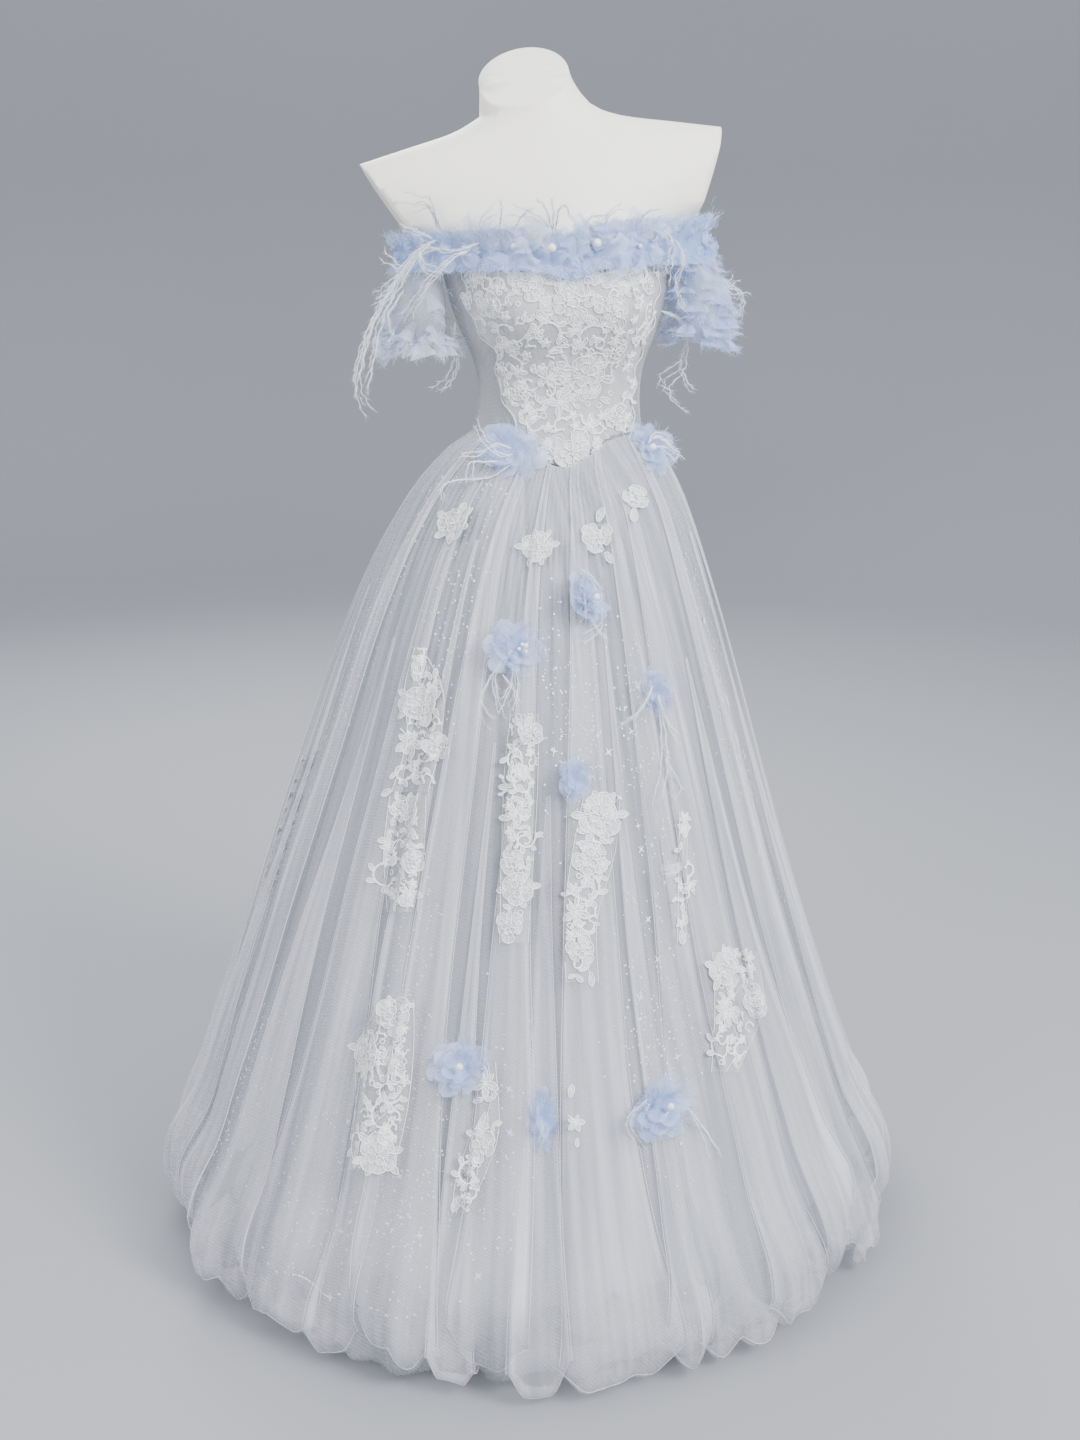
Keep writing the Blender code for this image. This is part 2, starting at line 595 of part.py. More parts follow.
def overlay_corner(column, row):
    """Angle, outer distance and height of a corner of the outer skirt's grid."""
    angle = OVERLAY_ANGLES[column]
    drop = SKIRT_HANGS[row].drop
    top = waist_seam(angle) - SEAM_GAP
    z = top + (hem_height(angle) - top) * drop
    plain, depth = hang_radius(angle, drop)
    least = bodice_radius(angle, z) + SEAM_GAP + SKIRT_WALL
    return angle, max(plain, least) + depth * fold_share(column), z


OVERLAY_GRID = [[around(*overlay_corner(column, row)) for row in range(len(SKIRT_HANGS))]
                for column in range(len(OVERLAY_ANGLES))]


def skirt_point(angle, z, out):
    """A point on the outer skirt's own facets at an angle and height, moved out from them."""
    full = 2 * math.pi
    count = len(OVERLAY_ANGLES)
    turned_angle = (angle - OVERLAY_ANGLES[0]) % full + OVERLAY_ANGLES[0]
    column = max(i for i in range(count) if OVERLAY_ANGLES[i] <= turned_angle)
    after = (column + 1) % count
    end = OVERLAY_ANGLES[after] + (full if after == 0 else 0.0)
    across = (turned_angle - OVERLAY_ANGLES[column]) / (end - OVERLAY_ANGLES[column])
    found = []
    for line in (OVERLAY_GRID[column], OVERLAY_GRID[after]):
        row = next((i for i in range(len(line) - 2) if z >= line[i + 1].z), len(line) - 2)
        down = (line[row].z - z) / (line[row].z - line[row + 1].z)
        found.append(line[row].lerp(line[row + 1], down))
    return found[0].lerp(found[1], across) + Vector((math.sin(angle), -math.cos(angle), 0)) * out


def overlay_radius(angle, z):
    """Distance of the outer skirt's facets from the body's middle."""
    point = skirt_point(angle, z, 0.0)
    return math.hypot(point.x - read(LEAN_ROWS, z)[0], point.y)


def nearest_crest(degrees):
    """Angle of the fold crest that is nearest, where a piece is sewn on."""
    crests = OVERLAY_ANGLES[1::COLUMNS_PER_FOLD]
    return min(crests, key=lambda angle: abs(math.remainder(angle - math.radians(degrees), 2 * math.pi)))


def support_radius(angle, z, spread):
    """The farthest that the dress stands out within a small distance to each side."""
    furthest = 0.0
    for step in range(-2, 3):
        near = angle + spread * step / 2
        if z > waist_seam(near) + SEAT_ABOVE_SEAM:
            furthest = max(furthest, bodice_radius(near, z) + LACE_CLEAR + LACE_WALL)
        if z < waist_seam(near) + SEAT_BELOW_SEAM:
            furthest = max(furthest, overlay_radius(near, min(z, waist_seam(near))))
    return furthest


def outer_skirt():
    """Gathered tulle from the waist seam to the uneven hem."""
    outer, inner = [], []
    for row in range(len(SKIRT_HANGS)):
        corners = [overlay_corner(column, row) for column in range(len(OVERLAY_ANGLES))]
        outer.append([line[row] for line in OVERLAY_GRID])
        inner.append([around(angle, distance - SKIRT_WALL, z) for angle, distance, z in corners])
    cloth_wall("skirt_overlay", "skirt_tulle", outer, inner, True)


def underskirt():
    """Lining skirt under the tulle, which shows below the uneven hem."""
    count = UNDERSKIRT_FOLDS * COLUMNS_PER_FOLD
    outer, inner = [], []
    for hang in SKIRT_HANGS[:1] + SKIRT_HANGS[2:-2] + SKIRT_HANGS[-1:]:
        outer_row, inner_row = [], []
        for column in range(count):
            angle = 2 * math.pi * column / count
            top = waist_seam(angle) - UNDERSKIRT_START
            z = top + (UNDERSKIRT_HEM - top) * hang.drop
            wide, depth = hang_radius(angle, hang.drop)
            share = UNDERSKIRT_SHARE + (UNDERSKIRT_HEM_SHARE - UNDERSKIRT_SHARE) * hang.drop
            valley = 1 - FOLD_SHAPE[column % COLUMNS_PER_FOLD]
            distance = wide * share - depth * UNDERSKIRT_WAVE * valley * hang.drop
            distance = max(distance, form_radius(angle, z) + CLOTH_CLEAR + SKIRT_WALL)
            if hang.drop == 0:
                distance = form_radius(angle, z) + CLOTH_CLEAR + SKIRT_WALL
            outer_row.append(around(angle, distance, z))
            inner_row.append(around(angle, distance - SKIRT_WALL, z))
        outer.append(outer_row)
        inner.append(inner_row)
    cloth_wall("underskirt", "underskirt", outer, inner, True)


def sleeves():
    """Short open sleeves that hang from the neckline off the shoulders."""
    count = SLEEVE_FOLDS * COLUMNS_PER_FOLD
    for side, name in ((1, "sleeve_left"), (-1, "sleeve_right")):
        outer, inner = [], []
        for row in SLEEVE_ROWS:
            outer_row, inner_row = [], []
            for column in range(count):
                turn = 2 * math.pi * column / count
                wave = SLEEVE_GATHER_SHAPE[column % COLUMNS_PER_FOLD] * row.gather
                half_width = (row.outer - row.inner) / 2 + wave * SLEEVE_GATHER_SIDEWAYS
                half_depth = row.half_depth + wave
                middle = (row.outer + row.inner) / 2
                for points, wall in ((outer_row, 0.0), (inner_row, SLEEVE_WALL)):
                    x = middle + (half_width - wall) * math.sin(turn)
                    y = -(half_depth - wall) * math.cos(turn)
                    points.append(place(side * x, y, row.height))
            outer.append(outer_row)
            inner.append(inner_row)
        cloth_wall(name, "skirt_tulle" if side < 0 else "blue_tulle", outer, inner, True)


def ruffle_radius(angle, z):
    """Inner face of the neckline ruffle along its gathered line."""
    degrees = abs(90 - front_degrees(angle))
    return bodice_radius(angle, min(z, BODICE_TOP_SIDE)) + SEAM_GAP + read(NECKLINE_REACHES, degrees)[0]


def ruffle_line(angle):
    return RUFFLE_HEIGHT - RUFFLE_DIP * bell(front_degrees(angle), RUFFLE_DIP_SPREAD)


def neck_ruffle():
    """Doubled tulle frill along the neckline, on over both sleeves."""
    count = RUFFLE_WAVES * COLUMNS_PER_FOLD
    outer, inner = [], []
    for rise, flare, depth in ((-RUFFLE_DOWN, RUFFLE_FLARE, RUFFLE_DEPTH), (0.0, 0.0, 0.0),
                               (RUFFLE_UP, RUFFLE_FLARE, RUFFLE_DEPTH)):
        outer_row, inner_row = [], []
        for column in range(count):
            angle = 2 * math.pi * column / count
            line = ruffle_line(angle)
            wave = depth * RUFFLE_SHAPE[column % COLUMNS_PER_FOLD]
            least = bodice_radius(angle, line + min(rise, 0.0)) + LACE_CLEAR + LACE_WALL + SEAM_GAP
            distance = max(ruffle_radius(angle, line), least if rise < 0 else 0.0) + flare + wave
            outer_row.append(around(angle, distance + RUFFLE_WALL, line + rise))
            inner_row.append(around(angle, distance, line + rise))
        outer.append(outer_row)
        inner.append(inner_row)
    cloth_wall("neck_ruffle", "blue_tulle", outer, inner, True)


def bloom_angle(bloom):
    """Where a flower's middle is: on a fold's crest if it is sewn to the skirt."""
    return nearest_crest(bloom.degrees)


def bloom_point(bloom, share, turn, lift):
    """A point over the dress near a flower, lifted off the cloth."""
    across = bloom.reach * share * math.sin(turn)
    up = bloom.reach * share * math.cos(turn)
    z = bloom.height + up
    middle = bloom_angle(bloom)
    angle = middle + across / support_radius(middle, z, 0.0)
    window = WAIST_BLOOM_WINDOW if bloom.height > WAIST_BLOOM_ABOVE else BLOOM_WINDOW
    spread = min(bloom.reach * BLOOM_SEAT_SHARE / support_radius(middle, z, 0.0), window)
    return around(angle, support_radius(angle, z, spread) + lift, z)


def bloom_petals(bloom):
    """Ruffled tulle flower whose rim curls off the cloth."""
    count = PETALS * COLUMNS_PER_PETAL
    outer, inner = [], []
    for share, curl in BLOOM_RINGS:
        outer_row, inner_row = [], []
        for column in range(count):
            turn = math.radians(bloom.turn) + 2 * math.pi * column / count
            notch = 1.0 if column % COLUMNS_PER_PETAL else 1 - BLOOM_NOTCH * curl
            lift = bloom.seat + PETAL_CURL * curl + PETAL_WAVE * curl * (1 if column % 4 == 1 else -1)
            outer_row.append(bloom_point(bloom, share * notch, turn, lift + PETAL_WALL))
            inner_row.append(bloom_point(bloom, share * notch, turn, lift))
        outer.append(outer_row)
        inner.append(inner_row)
    cloth_wall("bloom_" + bloom.name, "blue_tulle", outer, inner, True, filled_start=True)


def tuft(name, root, outward, paths):
    """A small backing with one feather strand growing from each of its faces."""
    body = bmesh.new()
    outward = outward.normalized()
    across = outward.cross(Vector((0, 0, 1))).normalized()
    up = across.cross(outward)
    count = len(paths)
    rim = []
    for step in range(count):
        turn = 2 * math.pi * step / count
        rim.append(root + (across * math.sin(turn) + up * math.cos(turn)) * TUFT_RADIUS)
    back = [body.verts.new(point) for point in rim]
    front = [body.verts.new(point + outward * TUFT_THICK * 0.5) for point in rim]
    tip = body.verts.new(root + outward * TUFT_THICK)
    body.faces.new(back)
    for step in range(count):
        after = (step + 1) % count
        body.faces.new((back[step], back[after], front[after], front[step]))
        ring = [front[step], front[after], tip]
        middle = (front[step].co + front[after].co + tip.co) / 3
        offsets = [(vert.co - middle).normalized() for vert in ring]
        heading = outward
        points = [middle + outward * STRAND_ROOT] + paths[step]
        for index, point in enumerate(points):
            following = points[min(index + 1, len(points) - 1)]
            towards = (following - points[max(index - 1, 0)]).normalized()
            bend = heading.rotation_difference(towards)
            offsets = [bend @ offset for offset in offsets]
            heading = towards
            radius = STRAND_RADIUS * (1.0 - STRAND_TAPER * index / len(points))
            grown = [body.verts.new(point + offset * radius) for offset in offsets]
            for corner in range(3):
                body.faces.new((ring[corner], ring[(corner + 1) % 3], grown[(corner + 1) % 3], grown[corner]))
            ring = grown
        body.faces.new(ring)
    bmesh.ops.triangulate(body, faces=body.faces)
    return add_object(name, body, "feather")


def bloom_tufts():
    """Feather strands that spring from the middle of a flower and fall over the skirt."""
    blooms = {bloom.name: bloom for bloom in BLOOMS}
    for entry in BLOOM_TUFTS:
        bloom = blooms[entry.bloom]
        middle = bloom_angle(bloom)
        heart = [bloom_point(bloom, BLOOM_HEART, quarter * math.pi / 2, bloom.seat + PETAL_WALL)
                 for quarter in range(4)]
        outward = (heart[1] - heart[3]).cross(heart[0] - heart[2])
        outward *= 1 if outward.x * math.sin(middle) - outward.y * math.cos(middle) > 0 else -1
        outward.normalize()
        centre = sum(heart, Vector()) / 4
        seat = max((point - centre).dot(outward) for point in heart) + TUFT_SEAT
        root = centre + outward * seat
        paths = []
        for strand in range(entry.strands):
            spin = math.radians(180 + entry.fan)
            spin += (strand / entry.strands - BLOOM_STRAND_MIDDLE) * BLOOM_STRAND_FAN
            varied = BLOOM_STRAND_EVEN + BLOOM_STRAND_VARIED * math.cos(BLOOM_STRAND_TURN * strand)
            path = [root + outward * STRAND_RISE]
            for step in BLOOM_STRAND_STEPS:
                run = entry.length * step * varied
                z = bloom.height + run * math.cos(spin) - BLOOM_STRAND_SAG * entry.length * step * step
                angle = middle + run * math.sin(spin) / support_radius(middle, z, 0.0)
                stand_off = BLOOM_STRAND_OFF + BLOOM_STRAND_ARCH * math.sin(math.pi * step)
                stand_off += BLOOM_STRAND_LAYER * strand
                distance = support_radius(angle, z, BLOOM_STRAND_WINDOW) + stand_off
                path.append(around(angle, distance, z))
            paths.append(path)
        tuft("tuft_" + bloom.name, root, outward, paths)


def sleeve_tufts():
    """Long strands that spring from the neckline over each sleeve and fall past it."""
    for entry in SLEEVE_TUFTS:
        middle = math.radians(entry.degrees) * entry.side
        line = ruffle_line(middle)
        flare = (RUFFLE_FLARE + RUFFLE_DEPTH) * TUFT_RADIUS / RUFFLE_DOWN
        flare *= 1 - RUFFLE_SIDE_LEAN * entry.side
        seat = ruffle_radius(middle, line) + RUFFLE_WALL + flare + TUFT_SEAT
        root = around(middle, seat, line)
        outward = Vector((math.sin(middle), -math.cos(middle), SLEEVE_STRAND_RISE))
        paths = []
        for strand in range(entry.strands):
            spread = (strand / (entry.strands - 1) - 0.5) * SLEEVE_STRAND_FAN
            reach = entry.reach * (0.5 + 0.5 * math.cos(SLEEVE_REACH_TURN * strand))
            fall = SLEEVE_DROP_EVEN + SLEEVE_DROP_VARIED * math.sin(SLEEVE_DROP_TURN * strand)
            path = []
            for step in SLEEVE_STRAND_STEPS:
                angle = middle + spread * step
                edge = ruffle_radius(angle, ruffle_line(angle)) + RUFFLE_WALL + RUFFLE_FLARE + RUFFLE_DEPTH
                distance = edge + STRAND_CLEAR + reach * step
                z = line - (entry.drop + RUFFLE_DOWN) * step * fall
                path.append(around(angle, distance, z))
            paths.append(path)
        tuft("tuft_" + entry.name, root, outward, paths)


def skirt_lace(lace):
    """A scalloped piece of lace that follows the skirt's folds, its gaps cut through."""
    count = len(OVERLAY_ANGLES)
    middle = math.radians(lace.degrees) % (2 * math.pi)
    nearest = min(range(count), key=lambda i: abs(math.remainder(OVERLAY_ANGLES[i] - middle, 2 * math.pi)))
    start = nearest - lace.columns // 2
    rows = lace.lobes * 2 + 3
    clear = HIP_LACE_CLEAR if lace.height > HIP_LACE_ABOVE else SKIRT_LACE_CLEAR
    outer, inner, holes = [], [], []
    for row in range(rows):
        share = row / (rows - 1)
        z = lace.height + lace.length * (share - 0.5)
        lobe = SKIRT_LACE_WIDE if row % 2 else SKIRT_LACE_NARROW
        lobe *= math.sin(math.pi * (share * 0.8 + 0.1)) ** 0.5
        outer_row, inner_row = [], []
        for column in range(lace.columns + 1):
            angle = OVERLAY_ANGLES[(start + column) % count]
            beside = OVERLAY_ANGLES[(start + (1 if column == 0 else lace.columns - 1)) % count]
            if column in (0, lace.columns):
                angle = beside + math.remainder(angle - beside, 2 * math.pi) * lobe
            outer_row.append(skirt_point(angle, z, clear + LACE_WALL))
            inner_row.append(skirt_point(angle, z, clear))
        outer.append(outer_row)
        inner.append(inner_row)
        if row % 2 and row < rows - 2 and lace.columns > 2:
            holes.append((row, lace.columns // 2 if lace.columns > 3 and row % 4 == 3 else 1))
    cloth_wall("lace_" + lace.name, "lace", outer, inner, False, holes=holes)


def build():
    for old in list(bpy.data.objects):
        bpy.data.objects.remove(old, do_unlink=True)
    dress_form()
    stand()
    bodice_panels()
    bodice_lace()
    back_placket()
    outer_skirt()
    underskirt()
    sleeves()
    neck_ruffle()
    for bloom in BLOOMS:
        bloom_petals(bloom)
    bloom_tufts()
    sleeve_tufts()
    for lace in SKIRT_LACE:
        skirt_lace(lace)


build()
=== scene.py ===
# Off-shoulder prom dress on a limbless dress form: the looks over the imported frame.
import math
import random
import bmesh
import bpy
from mathutils import Matrix, Vector, noise
from mathutils.bvhtree import BVHTree


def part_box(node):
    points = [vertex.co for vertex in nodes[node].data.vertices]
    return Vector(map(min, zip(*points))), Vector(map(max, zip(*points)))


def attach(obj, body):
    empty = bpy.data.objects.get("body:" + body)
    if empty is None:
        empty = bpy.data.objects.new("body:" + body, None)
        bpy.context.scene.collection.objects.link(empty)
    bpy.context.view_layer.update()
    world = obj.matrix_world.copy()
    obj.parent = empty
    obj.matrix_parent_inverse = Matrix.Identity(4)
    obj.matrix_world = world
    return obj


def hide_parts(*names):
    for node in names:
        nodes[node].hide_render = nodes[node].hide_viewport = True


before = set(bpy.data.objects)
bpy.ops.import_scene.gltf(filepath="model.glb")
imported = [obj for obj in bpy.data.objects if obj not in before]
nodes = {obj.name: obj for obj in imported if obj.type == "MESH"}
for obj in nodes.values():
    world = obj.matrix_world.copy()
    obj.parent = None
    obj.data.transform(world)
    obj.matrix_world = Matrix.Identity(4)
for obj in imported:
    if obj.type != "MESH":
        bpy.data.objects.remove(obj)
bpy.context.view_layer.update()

up = Vector((0, 0, 1))
print("frame loaded,", len(nodes), "nodes")


# Small tools

def bell(value, spread):
    return math.exp(-((value / spread) ** 2))


def soft(value, low, high):
    share = min(max((value - low) / (high - low), 0.0), 1.0)
    return share * share * (3 - 2 * share)


def lerp(start, end, share):
    return start + (end - start) * share


def readRow(rows, key):
    # values of a table at a key, on a smooth curve through its rows
    keys = [row[0] for row in rows]
    key = min(max(key, keys[0]), keys[-1])
    low = next(i for i in range(len(rows) - 1) if key <= keys[i + 1])
    span = keys[low + 1] - keys[low]
    t = (key - keys[low]) / span
    values = []
    for field in range(1, len(rows[0])):
        ends = []
        for i in (low, low + 1):
            before, after = max(i - 1, 0), min(i + 1, len(rows) - 1)
            ends.append((rows[after][field] - rows[before][field]) / (keys[after] - keys[before]) * span)
        a, b = rows[low][field], rows[low + 1][field]
        values.append((2 * t ** 3 - 3 * t ** 2 + 1) * a + (t ** 3 - 2 * t ** 2 + t) * ends[0]
                      + (3 * t ** 2 - 2 * t ** 3) * b + (t ** 3 - t ** 2) * ends[1])
    return values


def halfTurn(degrees):
    # the same direction, from -180 to 180
    return (degrees + 180) % 360 - 180


def frontDegrees(degrees):
    return abs(halfTurn(degrees))


def facing(angle):
    # the level direction at an angle from the front
    return Vector((math.sin(angle), -math.cos(angle), 0))


def sine(degrees):
    return math.sin(math.radians(degrees))


# Camera, the same height and turn as the front view

cameraView = dict(turn=-8.0, down=15.5, distance=2.25, height=1.30, aside=0.0194,
                  lens=42.93, sensor=36.0, pixelsWide=1080, pixelsHigh=1440)
turn, down = math.radians(cameraView["turn"]), math.radians(cameraView["down"])
sightRight = Vector((math.cos(turn), math.sin(turn), 0))
sightFlat = Vector((-math.sin(turn), math.cos(turn), 0))
sightForward = sightFlat * math.cos(down) - up * math.sin(down)
sightUp = sightFlat * math.sin(down) + up * math.cos(down)
eye = sightRight * cameraView["aside"] - sightFlat * cameraView["distance"] + up * cameraView["height"]
focal = cameraView["lens"] / cameraView["sensor"] * cameraView["pixelsHigh"]

cameraData = bpy.data.cameras.new("camera")
cameraData.sensor_fit = "VERTICAL"
cameraData.sensor_height = cameraView["sensor"]
cameraData.lens = cameraView["lens"]
camera = bpy.data.objects.new("camera", cameraData)
bpy.context.scene.collection.objects.link(camera)
turnMatrix = Matrix((sightRight, sightUp, -sightForward)).transposed()
camera.matrix_world = Matrix.Translation(eye) @ turnMatrix.to_4x4()
bpy.context.scene.camera = camera


def sightLine(x, y):
    # direction from the eye through a point of the front view, in its pixels
    across = (x - cameraView["pixelsWide"] / 2) / focal
    rise = (cameraView["pixelsHigh"] / 2 - y) / focal
    return (sightForward + sightRight * across + sightUp * rise).normalized()


def seenOn(tree, x, y, lift=0.0):
    # the point of a cloth that shows at that place of the front view
    point, normal = tree.ray_cast(eye, sightLine(x, y))[:2]
    if point is None:
        point, normal = tree.find_nearest(seenAt(x, y, -0.05))[:2]
    if normal.dot(sightForward) > 0:
        normal = -normal
    return point + normal * lift, normal


def seenAt(x, y, depth):
    # the same on an upright plane at that distance in front of or behind the figure's middle
    line = sightLine(x, y)
    return eye + line * ((depth - eye.y) / line.y)


# The figure's lean and tilt, as in the solids

leanRows = ((0.00, 0.000), (0.45, 0.001), (0.70, 0.010), (0.90, 0.019), (1.00, 0.030),
            (1.08, 0.043), (1.24, 0.042), (1.42, 0.022), (1.50, -0.001), (1.56, -0.010))
shoulderTilt = dict(slope=0.105, low=1.20, high=1.40)


def tilted(x, z):
    return z + shoulderTilt["slope"] * x * soft(z, shoulderTilt["low"], shoulderTilt["high"])


def around(degrees, distance, z):
    angle = math.radians(degrees)
    x = distance * math.sin(angle)
    return Vector((x + readRow(leanRows, z)[0], -distance * math.cos(angle), tilted(x, z)))


# the bodice's waist seam, lower in a point at the front, and its top edge, higher over each bust
bodiceLine = dict(waist=1.068, point=0.038, pointSpread=30, top=1.292, bust=0.010, bustAt=27, bustSpread=22,
                  dip=0.016, dipSpread=12)


def waistSeam(degrees):
    return bodiceLine["waist"] - bodiceLine["point"] * bell(frontDegrees(degrees), bodiceLine["pointSpread"])


def bodiceTop(degrees):
    away = frontDegrees(degrees)
    overBust = bell(away - bodiceLine["bustAt"], bodiceLine["bustSpread"])
    return (bodiceLine["top"] + bodiceLine["bust"] * overBust
            - bodiceLine["dip"] * bell(away, bodiceLine["dipSpread"]))


# Meshes

def linkObject(name, mesh):
    obj = bpy.data.objects.new(name, mesh)
    bpy.context.scene.collection.objects.link(obj)
    return obj


def mergedCopy(names):
    # the named solids in one mesh whose corners are joined
    bm = bmesh.new()
    for name in names:
        bm.from_mesh(nodes[name].data)
    bmesh.ops.remove_doubles(bm, verts=bm.verts, dist=0.00002)
    return bm


def creaseSharp(bm, limit):
    crease = bm.edges.layers.float.new("crease_edge")
    for edge in bm.edges:
        if len(edge.link_faces) == 2 and edge.calc_face_angle() > math.radians(limit):
            edge[crease] = 1.0


def toMesh(bm, name, smooth=True):
    mesh = bpy.data.meshes.new(name)
    for face in bm.faces:
        face.smooth = smooth
    bm.to_mesh(mesh)
    bm.free()
    return mesh


def evaluated(obj, name):
    # the finished mesh of an object with modifiers or a swept section
    mesh = bpy.data.meshes.new_from_object(obj.evaluated_get(bpy.context.evaluated_depsgraph_get()))
    bpy.data.objects.remove(obj)
    mesh.name = name
    return mesh


def subdivided(mesh, name, levels, kind="CATMULL_CLARK"):
    obj = linkObject(name + "_raw", mesh)
    modifier = obj.modifiers.new("rounding", "SUBSURF")
    modifier.levels = levels
    modifier.render_levels = levels
    modifier.subdivision_type = kind
    return evaluated(obj, name)


def treeOf(mesh):
    return BVHTree.FromPolygons([v.co.copy() for v in mesh.vertices],
                                [tuple(p.vertices) for p in mesh.polygons])


def smoothTree(names, levels=2):
    return treeOf(subdivided(toMesh(mergedCopy(names), "base"), "base", levels))


# rays start well outside the dress, are tried again a little to either side, and keep the first
# unless another reaches this much further out
rayLook = dict(start=0.9, nudge=0.7, further=0.002)


def onCloth(tree, degrees, z):
    # the farthest surface at an angle from the front and a height, looking in from outside
    best = None
    axis = Vector((readRow(leanRows, z)[0], 0, z))
    for nudge in (0.0, -rayLook["nudge"], rayLook["nudge"]):
        outward = facing(math.radians(degrees + nudge))
        hit, normal = tree.ray_cast(axis + outward * rayLook["start"], -outward)[:2]
        if hit is None:
            continue
        reach = (hit - axis).dot(outward)
        if best is None or reach > best[0] + rayLook["further"]:
            best = (reach, normal if normal.dot(outward) > 0 else -normal)
    outward = facing(math.radians(degrees))
    if best is None:
        return None, outward
    return axis + outward * best[0], best[1]


def addPatch(bm, columns, rows, where, cut=False):
    # a sheet from a grid: where(u, v) gives the place of each corner, v runs upwards
    grid = bmesh.ops.create_grid(bm, x_segments=columns, y_segments=rows, size=0.5, calc_uvs=cut)
    for vert in grid["verts"]:
        vert.co = where(vert.co.x + 0.5, vert.co.y + 0.5)


def clothMesh(name, columns, rows, where, closed=False):
    bm = bmesh.new()
    bm.loops.layers.uv.new("cut")
    addPatch(bm, columns, rows, where, cut=True)
    if closed:
        bmesh.ops.remove_doubles(bm, verts=bm.verts, dist=0.00001)
    return toMesh(bm, name)


def threadProfile():
    # the three-cornered section that every thread is swept from
    curve = bpy.data.curves.new("thread_profile", "CURVE")
    spline = curve.splines.new("POLY")
    spline.points.add(2)
    for point, turnAngle in zip(spline.points, (90, 210, 330)):
        point.co = (math.cos(math.radians(turnAngle)), math.sin(math.radians(turnAngle)), 0, 1)
    spline.use_cyclic_u = True
    return linkObject("thread_profile", curve)


def strandMesh(name, strands):
    # threads: each strand is its points and its radii
    profile = threadProfile()
    curve = bpy.data.curves.new(name, "CURVE")
    curve.dimensions = "3D"
    curve.bevel_mode = "OBJECT"
    curve.bevel_object = profile
    curve.use_fill_caps = True
    for points, radii in strands:
        spline = curve.splines.new("POLY")
        spline.points.add(len(points) - 1)
        spline.points.foreach_set("co", [value for p in points for value in (p[0], p[1], p[2], 1.0)])
        spline.points.foreach_set("radius", list(radii))
    mesh = evaluated(linkObject(name + "_raw", curve), name)
    bpy.data.objects.remove(profile)
    for polygon in mesh.polygons:
        polygon.use_smooth = True
    return mesh


def smoothPath(points, steps=6):
    # a rounded path through the given points
    if len(points) < 3:
        points = [points[0], points[0].lerp(points[-1], 0.5), points[-1]]
    path = []
    for i in range(len(points) - 1):
        a, b = points[max(i - 1, 0)], points[i]
        c, d = points[i + 1], points[min(i + 2, len(points) - 1)]
        for step in range(steps):
            t = step / steps
            path.append(0.5 * ((2 * b) + (c - a) * t + (2 * a - 5 * b + 4 * c - d) * t * t
                               + (3 * b - a - 3 * c + d) * t ** 3))
    path.append(points[-1].copy())
    return path


def addPiece(name, mesh, material, slotName, replaced=()):
    mesh.name = name
    mesh.materials.clear()
    mesh.materials.append(material)
    obj = linkObject(name, mesh)
    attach(obj, "root")
    if replaced:
        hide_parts(*replaced)
    return obj


def clothArea(obj):
    return sum(polygon.area for polygon in obj.data.polygons)


# Materials

def hexColour(code):
    values = [int(code[i:i + 2], 16) / 255 for i in (1, 3, 5)]
    linear = [v / 12.92 if v <= 0.04045 else ((v + 0.055) / 1.055) ** 2.4 for v in values]
    return (*linear, 1.0)


def addNode(tree, kind, inputs=(), **settings):
    node = tree.nodes.new(kind)
    for key, value in settings.items():
        setattr(node, key, value)
    for key, value in dict(inputs).items():
        if isinstance(value, bpy.types.NodeSocket):
            tree.links.new(value, node.inputs[key])
        else:
            node.inputs[key].default_value = value
    return node


def newMaterial(name, **values):
    material = bpy.data.materials.new(name)
    material.use_nodes = True
    tree = material.node_tree
    shader = tree.nodes["Principled BSDF"]
    for key, value in values.items():
        shader.inputs[key.replace("_", " ")].default_value = value
    coords = addNode(tree, "ShaderNodeTexCoord").outputs["Object"]
    return material, tree, shader, coords


def tint(tree, shader, share, pale, deep):
    # the base colour runs between two tones
    mix = addNode(tree, "ShaderNodeMix", {0: share, 6: hexColour(deep), 7: hexColour(pale)}, data_type="RGBA")
    tree.links.new(mix.outputs[2], shader.inputs["Base Color"])


def mottle(tree, shader, coords, scale, detail, pale, deep):
    # soft clouds of two tones
    clouds = addNode(tree, "ShaderNodeTexNoise", {"Vector": coords, "Scale": scale, "Detail": detail})
    tint(tree, shader, clouds.outputs["Fac"], pale, deep)
    return clouds.outputs["Fac"]


def relief(tree, shader, height, strength, distance):
    bump = addNode(tree, "ShaderNodeBump", {"Height": height, "Strength": strength, "Distance": distance})
    tree.links.new(bump.outputs[0], shader.inputs["Normal"])


def bandScale(millimetres):
    # the wave texture's scale for bands that far apart
    return 1000 / millimetres / 6.283


tulleLook = dict(roughness=0.75, holeMm=1.5, grain=0.03, streakFall=0.10, cloudFall=0.16)


